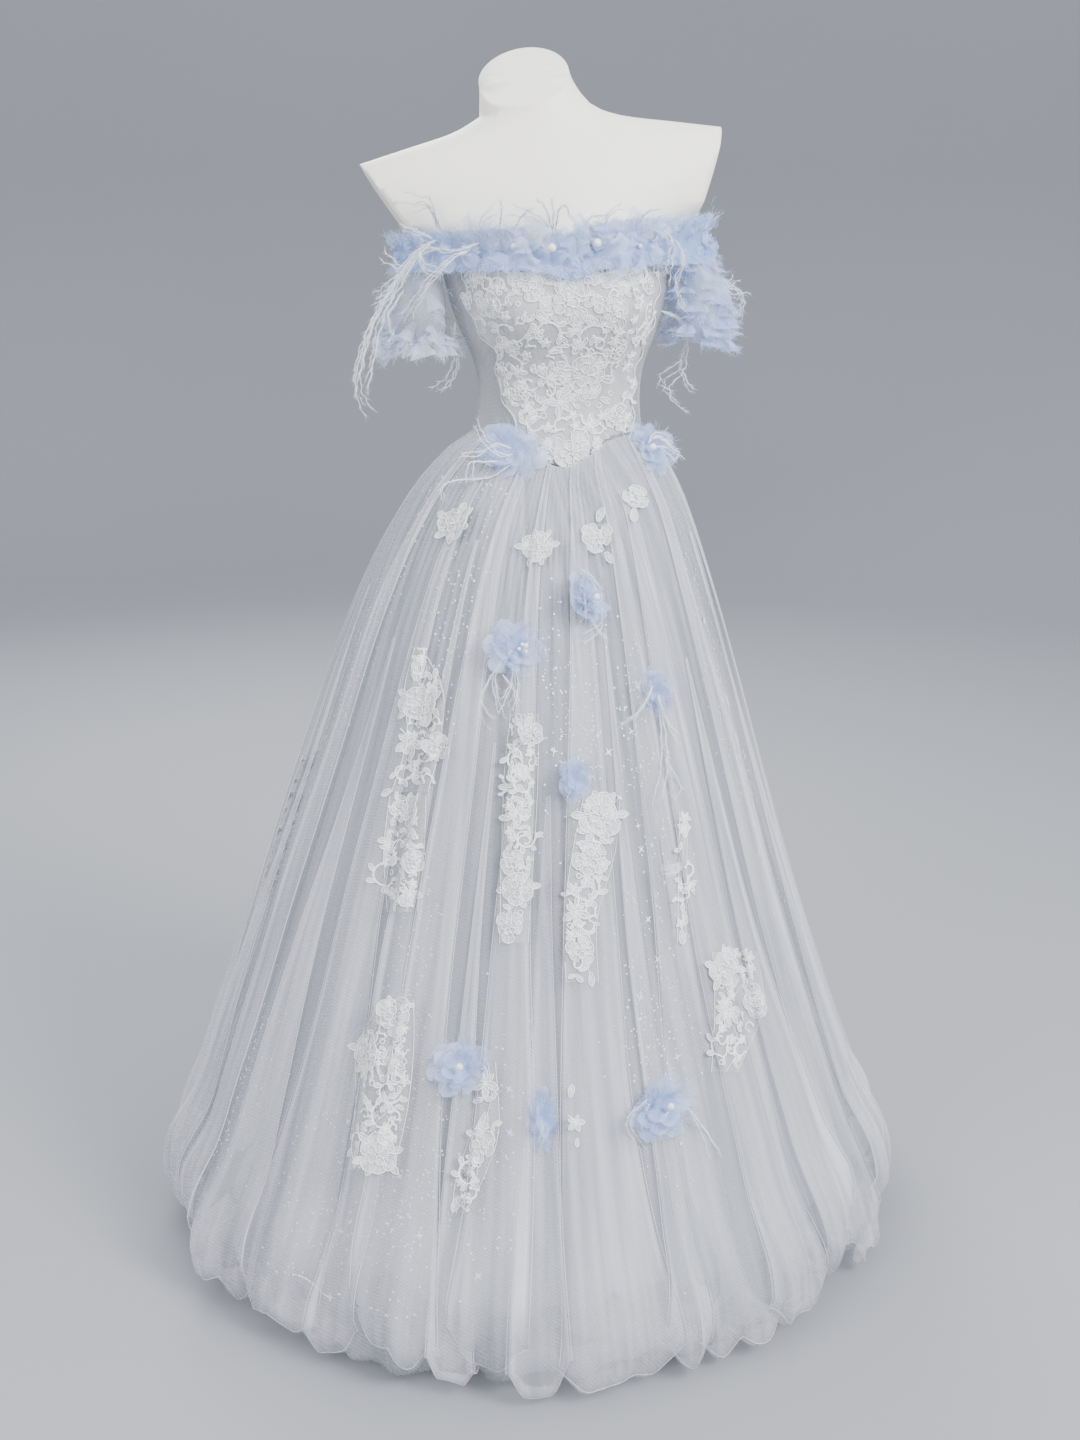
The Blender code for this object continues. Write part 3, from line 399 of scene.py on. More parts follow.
def tulleMaterial(name, pale, deep, opacity, cloudiness, gathered=False):
    # polyester tulle, a fine knitted net with 1.5 mm holes: a pale veil that is denser where it bunches,
    # with the net as a faint grain in how much of the layer below it lets through
    material, tree, shader, coords = newMaterial(name, Roughness=tulleLook["roughness"])
    if gathered:
        # the bunching runs down the skirt in streaks that draw together at the waist
        flat = addNode(tree, "ShaderNodeMapping", {"Vector": coords, "Scale": (1, 1, 0)}).outputs[0]
        ring = addNode(tree, "ShaderNodeVectorMath", {0: flat}, operation="NORMALIZE").outputs[0]
        fall = addNode(tree, "ShaderNodeMapping", {"Vector": coords,
                                                   "Scale": (0, 0, tulleLook["streakFall"])})
        place = addNode(tree, "ShaderNodeVectorMath", {0: ring, 1: fall.outputs[0]}, operation="ADD")
    else:
        place = addNode(tree, "ShaderNodeMapping", {"Vector": coords,
                                                    "Scale": (1, 1, tulleLook["cloudFall"])})
    clouds = addNode(tree, "ShaderNodeTexNoise", {"Vector": place.outputs[0], "Scale": cloudiness,
                                                  "Detail": 1.5, "Roughness": 0.6}).outputs["Fac"]
    spread = addNode(tree, "ShaderNodeMapRange", {"Value": clouds, "From Min": 0.34, "From Max": 0.66})
    tint(tree, shader, spread.outputs[0], pale, deep)
    net = addNode(tree, "ShaderNodeTexWave", {"Vector": coords, "Scale": bandScale(tulleLook["holeMm"])},
                  bands_direction="DIAGONAL")
    cover = addNode(tree, "ShaderNodeMapRange", {"Value": net.outputs["Fac"],
                                                 "To Min": opacity - tulleLook["grain"],
                                                 "To Max": opacity + tulleLook["grain"]})
    tree.links.new(cover.outputs[0], shader.inputs["Alpha"])
    return material


def wovenMaterial(name, pale, deep, threadMm, roughness):
    # plain-woven lining satin: a low sheen and soft clouds of tone, with its threads just felt in the gloss
    material, tree, shader, coords = newMaterial(name, Roughness=roughness, Sheen_Weight=0.25)
    mottle(tree, shader, coords, 7.0, 5.0, pale, deep)
    warp, weft = (addNode(tree, "ShaderNodeTexWave", {"Vector": coords, "Scale": bandScale(threadMm),
                                                      "Distortion": 0.4}, bands_direction=axis)
                  for axis in ("X", "Z"))
    both = addNode(tree, "ShaderNodeMath", {0: warp.outputs["Fac"], 1: weft.outputs["Fac"]}, operation="ADD")
    relief(tree, shader, both.outputs[0], 0.2, 0.0002)
    return material


def threadMaterial(name, pale, deep, roughness, twistMm):
    # threads laid side by side or twisted, as in embroidery: matt, with a silky gloss along the stitches
    material, tree, shader, coords = newMaterial(name, Roughness=roughness, Sheen_Weight=0.3)
    mottle(tree, shader, coords, 60.0, 3.0, pale, deep)
    stitch = addNode(tree, "ShaderNodeTexWave", {"Vector": coords, "Scale": bandScale(twistMm),
                                                 "Distortion": 3.0, "Detail": 1.0},
                     bands_direction="DIAGONAL")
    relief(tree, shader, stitch.outputs["Fac"], 0.35, 0.0003)
    return material


liningCloth = wovenMaterial("lining_satin", "#A2A5AD", "#9194A0", 1.2, 0.62)
bodiceLining = wovenMaterial("bodice_satin", "#9A9DA1", "#8A8E93", 1.0, 0.60)
innerTulle = tulleMaterial("tulle_glitter_layer", "#C0C1CE", "#9BA4A8", 0.36, 14.0, gathered=True)
outerTulle = tulleMaterial("tulle_outer_layer", "#D3D2DF", "#A6AEB2", 0.36, 26.0, gathered=True)
foldTulle = tulleMaterial("tulle_folded_layer", "#F1EFF8", "#BFC3CC", 0.30, 34.0, gathered=True)
edgeThread = tulleMaterial("tulle_cut_edge", "#F4F4FA", "#E2E2EA", 0.55, 12.0)
bodiceTulle = tulleMaterial("tulle_bodice_layer", "#C6C8CC", "#AAADB1", 0.42, 16.0)
paleSleeveTulle = tulleMaterial("tulle_pale_sleeve", "#B9C2D2", "#9AA6BA", 0.36, 14.0)
paleVeil = tulleMaterial("tulle_pale_veil", "#CAD5E8", "#AEBCD6", 0.45, 20.0)
blueTulle = tulleMaterial("tulle_blue", "#AEC3EC", "#8EAAE0", 0.66, 22.0)
blueVeil = tulleMaterial("tulle_blue_veil", "#C2D1F2", "#9DB6E6", 0.46, 26.0)
laceNet = tulleMaterial("lace_net", "#DADCDF", "#BFC2C7", 0.30, 30.0)
bodiceGround = tulleMaterial("lace_bodice_ground", "#E4E5E9", "#CFD1D6", 0.50, 30.0)
laceFill = tulleMaterial("lace_petal_fill", "#F6F7F9", "#C3C8CF", 0.72, 260.0)
laceThread = threadMaterial("lace_thread", "#FFFFFF", "#FAFBFD", 0.50, 0.9)
featherFibre = threadMaterial("feather_fibre", "#FBFDFF", "#E9F0FA", 0.60, 0.7)
# a dark blue-grey copy of the pale feather fibre: painted shade, so that strands lying in shadow over the
# chest and round the neckline show darker than the white form
featherPaintedShade = threadMaterial("feather_fibre_painted_shade", "#8F9BB2", "#6C7A98", 0.65, 0.7)
blueFibre = threadMaterial("tulle_fibre_blue", "#CEDCF8", "#A9C0EE", 0.70, 0.7)
paleFibre = threadMaterial("tulle_fibre_pale", "#E6EDF8", "#C6D3EA", 0.70, 0.7)

# glass-fibre display form under matt sprayed lacquer: warm white, faintly orange-peeled
formLacquer, tree, shader, coords = newMaterial("form_lacquer", Roughness=0.52)
mottle(tree, shader, coords, 3.0, 3.0, "#F3F0E9", "#E9E5DC")
peel = addNode(tree, "ShaderNodeTexNoise", {"Vector": coords, "Scale": 400.0, "Detail": 1.0})
relief(tree, shader, peel.outputs["Fac"], 0.05, 0.0003)

# satin chromed steel tube and base plate, turned and polished: its reflection is a little uneven
steel, tree, shader, coords = newMaterial("stand_satin_steel", Metallic=1.0)
turning = mottle(tree, shader, coords, 90.0, 2.0, "#C9CACC", "#A9ABAE")
gloss = addNode(tree, "ShaderNodeMapRange", {"Value": turning, "To Min": 0.24, "To Max": 0.38})
tree.links.new(gloss.outputs[0], shader.inputs["Roughness"])

# glass beads in nacre lacquer: a soft white ball with a clear bright highlight
nacre, tree, shader, coords = newMaterial("pearl_nacre", Roughness=0.28, Coat_Weight=0.8, Coat_Roughness=0.08)
mottle(tree, shader, coords, 120.0, 2.0, "#FBF9F6", "#DCD8D4")

# pearly film punched into dots and stars: white flecks that catch the light
sequinFilm, tree, shader, coords = newMaterial("sequin_film", Roughness=0.2)
mottle(tree, shader, coords, 80.0, 2.0, "#FFFFFF", "#E4E8F2")

# studio paper: dead matt and almost one tone
studioPaper, tree, shader, coords = newMaterial("studio_paper", Roughness=0.9)
mottle(tree, shader, coords, 0.6, 2.0, "#909297", "#8A8C91")
print("materials made")


# Dress form and stand

formCopy = mergedCopy(["form_torso"])
creaseSharp(formCopy, 42)
addPiece("dress_form", subdivided(toMesh(formCopy, "dress_form"), "dress_form", 2), formLacquer, "form_cover",
         ["form_torso"])
for name in ("stand_base", "stand_pole", "stand_collar"):
    nodes[name].data.materials.clear()
    nodes[name].data.materials.append(steel)
print("form and stand done")


# Bodice: satin panels under gathered tulle

bodiceNodes = [name for name in nodes if name.startswith("bodice_")]
bodiceTree = smoothTree(bodiceNodes)
bodiceLook = dict(panelSeams=(34, 86, 132, 180, 228, 274, 326), seamDepth=0.0012, seamWidth=0.9,
                  gatherLift=0.0016, gatherDepth=0.0009, gathers=150, waistGap=0.0012, topDrop=0.004,
                  halfWidth=0.13, radius=0.11, waistPuff=0.0022, sidePuff=0.0008)


def bodicePoint(degrees, share, lift):
    low, high = waistSeam(degrees) + bodiceLook["waistGap"], bodiceTop(degrees) - bodiceLook["topDrop"]
    z = tilted(bodiceLook["halfWidth"] * sine(degrees), lerp(low, high, share))
    point, normal = onCloth(bodiceTree, degrees, z)
    if point is None:
        point, normal = bodiceTree.find_nearest(around(degrees, bodiceLook["radius"], z))[:2]
    return point + normal * lift


def makeBodice():
    def lining(u, v):
        degrees = 360 * u
        seam = max(bell(halfTurn(degrees - at), bodiceLook["seamWidth"]) for at in bodiceLook["panelSeams"])
        return bodicePoint(degrees, v, -bodiceLook["seamDepth"] * seam)

    def veil(u, v):
        # smooth under the lace, drawn together in fine gathers at the sides and back
        degrees = 360 * u
        side = soft(frontDegrees(degrees), 20, 42)
        wander = noise.noise(Vector((0, degrees / 20, v * 2.0))) * 1.4
        wave = math.sin(bodiceLook["gathers"] * math.radians(degrees) + 5 * wander)
        puff = bodiceLook["waistPuff"] * side * bell(v - 0.10, 0.22) + bodiceLook["sidePuff"] * side
        depth = bodiceLook["gatherDepth"] * lerp(0.25, 1.0, side) \
            * (0.7 + 0.3 * math.sin(9 * v + degrees / 7))
        lift = bodiceLook["gatherLift"] * lerp(0.45, 1.0, side) + depth * wave + puff
        return bodicePoint(degrees, v, lift)

    inner = addPiece("bodice_lining", clothMesh("bodice_lining", 240, 40, lining, closed=True), bodiceLining,
                     "bodice_cloth", bodiceNodes)
    outer = addPiece("bodice_tulle", clothMesh("bodice_tulle", 640, 28, veil, closed=True), bodiceTulle,
                     "bodice_cloth")
    return outer


bodiceOuter = makeBodice()

placketMesh = subdivided(toMesh(mergedCopy(["back_placket"]), "back_closing"), "back_closing", 2, "SIMPLE")
placket = addPiece("back_closing", placketMesh, bodiceLining, "bodice_cloth", ["back_placket"])
print("bodice done")


# Skirt: lining, glitter tulle, outer tulle and the folds that lie over it

hangRows = (  # share of the drop, then how far the cloth stands out at the side, front and back
    (0.000, 0.107, 0.094, 0.085),
    (0.022, 0.135, 0.103, 0.114),
    (0.080, 0.172, 0.144, 0.157),
    (0.225, 0.229, 0.205, 0.216),
    (0.465, 0.304, 0.292, 0.298),
    (0.710, 0.382, 0.384, 0.384),
    (0.915, 0.452, 0.478, 0.466),
    (1.000, 0.480, 0.518, 0.500),
)
skirtLook = dict(seed=11, folds=38, foldDepth=0.021, innerFolds=26, innerDepth=0.013, gathers=128,
                 gatherDepth=0.0016, pleats=64, pleatDepth=0.0042, turnShare=0.085, turnDegrees=165,
                 puff=0.030, hemLow=0.003, hemHigh=0.040, balloon=0.016, pinch=0.006, crumple=0.010,
                 waistGap=0.0006, outerGap=0.004, innerTuck=0.018, liningTuck=0.034, liningRipple=0.010)


def placedFolds(seed, count, depth):
    # long soft folds, uneven in place, width, depth and start
    chance = random.Random(seed)
    folds = []
    for i in range(count):
        folds.append(dict(at=360 * (i + chance.uniform(-0.34, 0.34)) / count,
                          width=chance.uniform(1.6, 4.4), depth=depth * chance.uniform(0.25, 1.0),
                          start=chance.uniform(0.05, 0.42), slant=chance.uniform(-5.0, 5.0)))
    return folds


outerFolds = placedFolds(skirtLook["seed"], skirtLook["folds"], skirtLook["foldDepth"])
innerFolds = placedFolds(skirtLook["seed"] + 5, skirtLook["innerFolds"], skirtLook["innerDepth"])


def foldsOut(folds, degrees, share):
    total = 0.0
    for fold in folds:
        away = halfTurn(degrees - fold["at"] - fold["slant"] * share)
        if abs(away) < 2.3 * fold["width"]:
            total += fold["depth"] * soft(share, fold["start"], 1.0) * bell(away, fold["width"])
    return total


def plainReach(degrees, share):
    side, front, back = readRow(hangRows, share)
    angle = math.radians(degrees)
    along = front if math.cos(angle) > 0 else back
    return 1 / math.hypot(math.sin(angle) / side, math.cos(angle) / along)


def gathersOut(degrees, share):
    # fine gathers under the waist seam, then broader ones that fade towards the hem
    angle = math.radians(degrees)
    near = soft(share, 0.0, 0.03) * (1 - soft(share, 0.10, 0.42))
    fine = math.sin(skirtLook["gathers"] * angle + 3.0 * math.sin(5 * angle) + 2 * share)
    middle = soft(share, 0.03, 0.25) * (1 - 0.65 * soft(share, 0.45, 0.95))
    wander = 4.0 * math.sin(3 * angle + 1)
    broad = math.sin(skirtLook["pleats"] * angle + wander + 5 * share * math.sin(angle))
    strength = 0.55 + 0.45 * math.sin(11 * angle + 2.0)
    return (skirtLook["gatherDepth"] * near * (1 + fine)
            + skirtLook["pleatDepth"] * middle * strength * (0.5 + 0.5 * broad))


def hemHeight(degrees, seed):
    # rounded pouches that hang between pinched-up places
    x, y = sine(degrees), math.cos(math.radians(degrees))
    wander = noise.noise(Vector((3.1 * seed, 4.2 * x, 4.2 * y)))
    pinch = 1 - min(3.4 * abs(noise.noise(Vector((seed + 0.7, 7.5 * x, 7.5 * y)))), 1.0)
    share = min(max(0.30 + 0.8 * wander + 0.55 * pinch, 0.0), 1.3)
    return lerp(skirtLook["hemLow"], skirtLook["hemHigh"], share)


def hangPoint(degrees, along, outward, seed, puffScale=1.0, rise=0.0):
    # a point of a hung layer: along runs from the waist to its turned-under hem
    turnShare = skirtLook["turnShare"]
    low = hemHeight(degrees, seed) + rise
    puff = skirtLook["puff"] * puffScale * (0.55 + 0.9 * sine(4 * degrees + 50 * seed) ** 2)
    share = min(along / (1 - turnShare), 1.0)
    start = waistSeam(degrees) - skirtLook["waistGap"]
    reach = plainReach(degrees, share) + outward(degrees, share)
    reach += skirtLook["balloon"] * puffScale * bell(share - 0.95, 0.06) \
        - skirtLook["pinch"] * puffScale * soft(share, 0.8, 0.95)
    reach += noise.noise(Vector((degrees / 5.0, 9 * share, seed))) * skirtLook["crumple"] * puffScale \
        * soft(share, 0.86, 0.97)
    z = start + (low + puff - start) * share
    if along > 1 - turnShare:
        turned = (along - 1 + turnShare) / turnShare * math.radians(skirtLook["turnDegrees"])
        reach += puff * (math.cos(turned) - 1)
        z = low + puff - puff * math.sin(turned)
    return around(degrees, reach, z)


def outerOut(degrees, share):
    return (gathersOut(degrees, share) + foldsOut(outerFolds, degrees, share)
            + skirtLook["outerGap"] * soft(share, 0.02, 0.15))


def innerOut(degrees, share):
    return (foldsOut(innerFolds, degrees, share) - skirtLook["innerTuck"] * soft(share, 0.02, 0.5)
            + 0.35 * gathersOut(degrees + 3, share) - 0.0015)


def liningOut(degrees, share):
    ripple = skirtLook["liningRipple"] * soft(share, 0.2, 1.0) \
        * math.sin(math.radians(14 * degrees) + sine(3 * degrees))
    return -skirtLook["liningTuck"] * soft(share, 0.03, 0.55) + ripple - 0.003


def makeSkirtLayers():
    # the lining ends a hand's breadth above the outer tulle's hem
    layers = (
        # name, columns, rows, outward, seed, puff, hem raised by, material, slot, replaced
        ("skirt_lining", 240, 40, liningOut, 1, 0.10, 0.062, liningCloth, "underskirt", ["underskirt"]),
        ("skirt_glitter_tulle", 400, 50, innerOut, 2, 0.8, 0.016, innerTulle, "skirt_tulle", []),
        ("skirt_outer_tulle", 768, 64, outerOut, 3, 1.15, 0.0, outerTulle, "skirt_tulle", ["skirt_overlay"]),
    )
    made = {}
    for name, columns, rows, outward, seed, puff, rise, material, slotName, replaced in layers:
        mesh = clothMesh(name, columns, rows,
                         lambda u, v: hangPoint(360 * u, 1 - v, outward, seed, puff, rise), closed=True)
        made[name] = addPiece(name, mesh, material, slotName, replaced)
        print(" ", name, "area", round(clothArea(made[name]), 3))
    return made


skirt = makeSkirtLayers()

# folds of the outer tulle that lie over the next: angle at the waist and hem, half widths, lift,
# and the share of the drop where the fold begins
flapRows = (
    (-66, -70, 1.6, 8.0, 0.006, 0.00), (-57, -57, 0.4, 6.0, 0.012, 0.22), (-47, -45, 2.0, 8.5, 0.005, 0.00),
    (-36, -33, 0.4, 4.6, 0.012, 0.10), (-27, -25, 2.2, 6.4, 0.006, 0.00), (-19, -17.5, 0.3, 3.0, 0.012, 0.30),
    (-10, -12.5, 1.8, 5.4, 0.005, 0.00), (-2, -6.0, 0.4, 4.4, 0.011, 0.35), (9, 2.5, 2.6, 8.6, 0.011, 0.00),
    (17, 13, 0.4, 3.4, 0.006, 0.18), (25, 22, 2.0, 6.4, 0.006, 0.00), (34, 32, 2.4, 7.6, 0.011, 0.05),
    (45, 43, 0.4, 5.0, 0.006, 0.25), (54, 54, 2.2, 8.0, 0.011, 0.00), (68, 66, 0.5, 6.2, 0.006, 0.12),
    (80, 79, 2.2, 8.2, 0.010, 0.00), (96, 93, 0.4, 5.6, 0.006, 0.28), (108, 107, 2.4, 8.4, 0.011, 0.00),
    (124, 125, 0.5, 6.0, 0.006, 0.15), (138, 140, 2.2, 8.0, 0.011, 0.00), (154, 156, 0.4, 5.0, 0.006, 0.32),
    (166, 168, 2.4, 8.4, 0.010, 0.00), (182, 183, 0.4, 5.2, 0.006, 0.20), (197, 198, 2.2, 8.6, 0.011, 0.00),
    (214, 214, 0.5, 5.6, 0.006, 0.26), (228, 230, 2.2, 8.0, 0.010, 0.00), (244, 247, 0.4, 6.0, 0.006, 0.10),
    (259, 262, 2.4, 8.4, 0.011, 0.00), (276, 278, 0.5, 6.4, 0.007, 0.18),
)


flapLook = dict(columns=20, rows=52, edgeThread=0.00052, hemThread=0.00050, tuckFrom=0.84, corner=0.030,
                arch=0.005, crimp=0.0036)


def makeFlaps():
    bm = bmesh.new()
    edges = []
    for index, (waist, hem, narrow, wide, lift, begin) in enumerate(flapRows):

        def where(u, v):
            # u runs across the fold with a tuck under each long edge, v up it
            along = lerp(begin, 1.0, 1 - v)
            across = 2 * u - 1
            tuckFrom = flapLook["tuckFrom"]
            edge = soft(abs(across), tuckFrom, 1.0)
            side = math.copysign(1, across)
            tuck = min(0.9 / max(lerp(narrow, wide, 1 - v), 0.9), 0.6)
            offset = across / tuckFrom if abs(across) < tuckFrom else side * (1 - tuck * edge)
            half = lerp(narrow, wide, (1 - v) ** 0.9)
            half *= 1 + 0.16 * math.sin(5.0 * along + 1.7 * index + side)
            wander = 1.7 * noise.noise(Vector((index * 3.7, along * 3.2, 0.5 + 0.4 * side))) * (1 - v)
            degrees = lerp(waist, hem, along) + half * offset + wander
            arch = flapLook["arch"] * (1 - min(abs(offset), 1.0) ** 2) * (1 - v)
            crimp = flapLook["crimp"] * noise.noise(Vector((degrees * 0.45, along * 7, index))) * (1 - v)

            def outward(at, share):
                stand = lift * soft(share, begin, begin + 0.5) * (1 - 0.5 * edge) + arch + crimp + 0.0012
                return outerOut(at, share) * 0.85 + stand + 0.0025 * soft(share, 0.01, 0.1)

            corner = flapLook["corner"] * soft(min(abs(offset), 1.0), 0.45, 1.0) * soft(along, 0.80, 1.0)
            return hangPoint(degrees, along * 0.985, outward, 4 + index, 1.0 + 0.5 * math.sin(2.3 * index),
                             corner)

        rows = flapLook["rows"]
        addPatch(bm, flapLook["columns"], rows, where)
        for u in (0.08, 0.92):
            edges.append(([where(u, 1 - k / rows) for k in range(rows + 1)],
                          [flapLook["edgeThread"]] * (rows + 1)))
        edges.append(([where(0.08 + 0.84 * k / 24, 0.055) for k in range(25)], [flapLook["hemThread"]] * 25))
    piece = addPiece("skirt_folds", toMesh(bm, "skirt_folds"), foldTulle, "skirt_tulle")
    print("  folds area", round(clothArea(piece), 3))
    addPiece("skirt_fold_edges", strandMesh("skirt_fold_edges", edges), edgeThread, "skirt_tulle")
    return piece


skirtFolds = makeFlaps()


def treeOfBoth(first, second):
    bm = bmesh.new()
    bm.from_mesh(first)
    bm.from_mesh(second)
    tree = BVHTree.FromBMesh(bm)
    bm.free()
    return tree


skirtTree = treeOfBoth(skirt["skirt_outer_tulle"].data, skirtFolds.data)
print("skirt done")


# Glitter dots and star sequins, scattered in drifts

sparkleLook = dict(seed=4, dots=4200, stars=90, drifts=46, dotRadius=0.0012, starReach=0.0060, starWaist=0.26,
                   lift=0.0012, tip=0.25)


def makeSparkles():
    chance = random.Random(sparkleLook["seed"])
    bm = bmesh.new()
    drifts = [(chance.uniform(0, 360), chance.uniform(0.12, 0.97)) for _ in range(sparkleLook["drifts"])]
    for i in range(sparkleLook["dots"] + sparkleLook["stars"]):
        atAngle, atShare = drifts[chance.randrange(len(drifts))]
        degrees = atAngle + chance.gauss(0, 3.5)
        along = min(max(atShare + chance.gauss(0, 0.07), 0.05), 0.95) * (1 - skirtLook["turnShare"])
        middle = hangPoint(degrees, along, lambda d, s: outerOut(d, s) + sparkleLook["lift"], 3, 1.15)
        outward = (facing(math.radians(degrees)) + up * sparkleLook["tip"]).normalized()
        isStar = i < sparkleLook["stars"]
        size = sparkleLook["starReach"] * chance.uniform(0.6, 1.2) if isStar \
            else sparkleLook["dotRadius"] * chance.uniform(0.6, 1.4)
        disc = bmesh.ops.create_circle(bm, cap_ends=True, segments=8 if isStar else 6, radius=size)["verts"]
        if isStar:
            for vert in disc[1::2]:
                vert.co *= sparkleLook["starWaist"]
        spin = Matrix.Rotation(chance.uniform(0, 3.14), 4, "Z")
        turned = Matrix.Translation(middle) @ outward.to_track_quat("Z", "Y").to_matrix().to_4x4() @ spin
        bmesh.ops.transform(bm, matrix=turned, verts=disc)
    addPiece("glitter", toMesh(bm, "glitter", smooth=False), sequinFilm, "lace")


makeSparkles()
print("glitter done")


# Lace: petals, leaves and scrolls in corded embroidery, wrapped onto the cloth

# cords' radii, and the metres that a pixel of the front view spans at the skirt
laceLook = dict(cord=0.00078, vein=0.00052, knot=0.00095, pixel=0.00142, raised=0.0014, scallop=0.20)


def polar(reach, angle):
    return reach * math.sin(angle), reach * math.cos(angle)


def clothFrame(point, normal):
    # a flat patch of cloth to draw on: its middle, right, up and outward directions
    across = up.cross(normal)
    if across.length < 0.1:
        across = Vector((1, 0, 0))
    across.normalize()
    return dict(middle=point, right=across, rise=normal.cross(across).normalized(), out=normal)


def newLace(tree, least):
    # lace in work: petals in one mesh, cords in a list, the cloth under it and how far it may sink
    return dict(bm=bmesh.new(), cords=[], tree=tree, least=least)


def wrapped(patch, dx, dy, lift):
    start = patch["middle"] + patch["right"] * dx + patch["rise"] * dy
    hit = patch["tree"].ray_cast(start + patch["out"] * 0.03, -patch["out"], 0.07)[0]
    height = (hit - start).dot(patch["out"]) if hit else 0.0
    return start + patch["out"] * (max(height, patch["least"]) + lift)


def addCord(lace, points, radius):
    lace["cords"].append((points, [radius] * len(points)))


def lacePetal(patch, at, length, width, turnAngle, raised, scallops=3, veins=3, full=0.85):
    # a petal: a filled blade, widest further out as full grows, the cord round its rim and its veins
    cosTurn, sinTurn = math.cos(turnAngle), math.sin(turnAngle)

    def local(across, outwards, lift):
        dx = at[0] + outwards * sinTurn + across * cosTurn
        dy = at[1] + outwards * cosTurn - across * sinTurn
        return wrapped(patch, dx, dy, lift)

    def halfAt(v):
        shape = math.sin(math.pi * min(v, 0.999) ** full) ** 0.7
        return width / 2 * shape * (1 + laceLook["scallop"] * math.sin(scallops * 2 * math.pi * v))

    def fill(u, v):
        across = (2 * u - 1) * halfAt(lerp(0.02, 0.985, v))
        dome = (1 - (2 * u - 1) ** 2) * math.sin(math.pi * v)
        return local(across, length * v, raised * (0.5 + 0.5 * dome))

    addPatch(patch["bm"], 3, 5, fill)
    rim = [local(-halfAt(v), length * v, raised * 1.1) for v in (0.02, 0.2, 0.4, 0.6, 0.8, 0.93, 0.985)]
    rim += [local(halfAt(v), length * v, raised * 1.1) for v in (0.93, 0.8, 0.6, 0.4, 0.2, 0.02)]
    addCord(patch, rim, laceLook["cord"])
    for i in range(veins):
        lean = (i - (veins - 1) / 2) * 0.5
        line = [local(lean * halfAt(v) * 1.2, length * v, raised * 1.25) for v in (0.12, 0.45, 0.82)]
        patch["cords"].append((line, [laceLook["vein"], laceLook["vein"], laceLook["vein"] * 0.5]))


def laceLeaf(patch, length, turnAngle, at=(0, 0), raised=laceLook["raised"]):
    lacePetal(patch, at, length, length * 0.46, turnAngle, raised, scallops=4, veins=1)


def laceFlower(patch, size, turnAngle, petals=5, raised=0.0018, seeds=9):
    # a ring of broad petals, uneven in length, a smaller ring on it and a few knots in the heart
    for i in range(petals):
        angle = turnAngle + 2 * math.pi * (i + 0.16 * math.sin(2.3 * i + 5 * turnAngle)) / petals
        reach = size * (0.78 + 0.14 * math.sin(3.1 * i + 4 * turnAngle))
        lacePetal(patch, polar(0.14 * size, angle), reach, size * 0.84, angle, raised, scallops=5, full=1.5)
    for i in range(5):
        angle = turnAngle + 0.5 + 2 * math.pi * i / 5
        lacePetal(patch, polar(0.05 * size, angle), size * 0.46, size * 0.42, angle, raised * 1.7, veins=0,
                  full=1.4)
    for i in range(seeds):
        away = 0.0 if i == seeds - 1 else (0.10 + 0.07 * (i % 2)) * size
        place = wrapped(patch, *polar(away, turnAngle + 2 * math.pi * i / (seeds - 1)), raised * 1.9 + 0.0005)
        bmesh.ops.create_icosphere(patch["bm"], subdivisions=1, radius=laceLook["knot"],
                                   matrix=Matrix.Translation(place))


def laceRose(patch, size, turnAngle):
    # a full flower with leaves showing behind it
    for i in range(6):
        angle = turnAngle + 0.4 + math.pi / 3 * i + 0.2 * math.sin(4 * i)
        away = size * (0.55 + 0.10 * math.sin(2.2 * i))
        laceLeaf(patch, size * 0.66, angle, at=polar(away, angle), raised=0.0012)
    laceFlower(patch, size, turnAngle, petals=6)


def laceScroll(patch, size, turnAngle, hand=1, leaves=4):
    # a curling double stem that ends in a bud, with leaves along its outside
    path = [polar(size * (1.0 - 0.70 * t), turnAngle + hand * (0.4 + 4.6 * t))
            for t in (i / 15 for i in range(16))]
    for shift in (0.0, 0.0017):
        grow = 1 + shift / size
        addCord(patch, [wrapped(patch, x * grow, y * grow, laceLook["raised"]) for x, y in path],
                laceLook["cord"])
    laceLeaf(patch, size * 0.42, turnAngle + 1.0, at=path[-1])
    for i in range(leaves):
        x, y = path[1 + int(i * 10 / max(leaves - 1, 1))]
        laceLeaf(patch, size * 0.66, math.atan2(x, y) - hand * 0.5, at=(x, y))


def laceHook(patch, size, turnAngle):
    laceScroll(patch, size, turnAngle, hand=-1)


def laceSprig(patch, size, turnAngle):
    # a short stem between two pairs of leaves and a bud
    stem = [wrapped(patch, *polar(size * t, turnAngle + 0.5 * t), laceLook["raised"])
            for t in (-0.9, -0.4, 0.0, 0.4)]
    addCord(patch, stem, laceLook["cord"])
    for spread in (-1.1, 0.0, 1.1, 2.3, -2.3):
        laceLeaf(patch, size * (0.95 if abs(spread) < 2 else 0.7), turnAngle + spread)


def laceEyelet(patch, size, turnAngle):
    ring = [wrapped(patch, *polar(size, turnAngle + 2 * math.pi * i / 8), 0.0013) for i in range(9)]
    addCord(patch, ring, laceLook["cord"])


motifMakers = dict(flower=laceFlower, rose=laceRose, leaf=laceLeaf, scroll=laceScroll, hook=laceHook,
                   sprig=laceSprig)


def drawMotifs(lace, motifs, find):
    for kind, x, y, size, turnAngle in motifs:
        motifMakers[kind](dict(lace, **clothFrame(*find(x, y))), size, turnAngle)


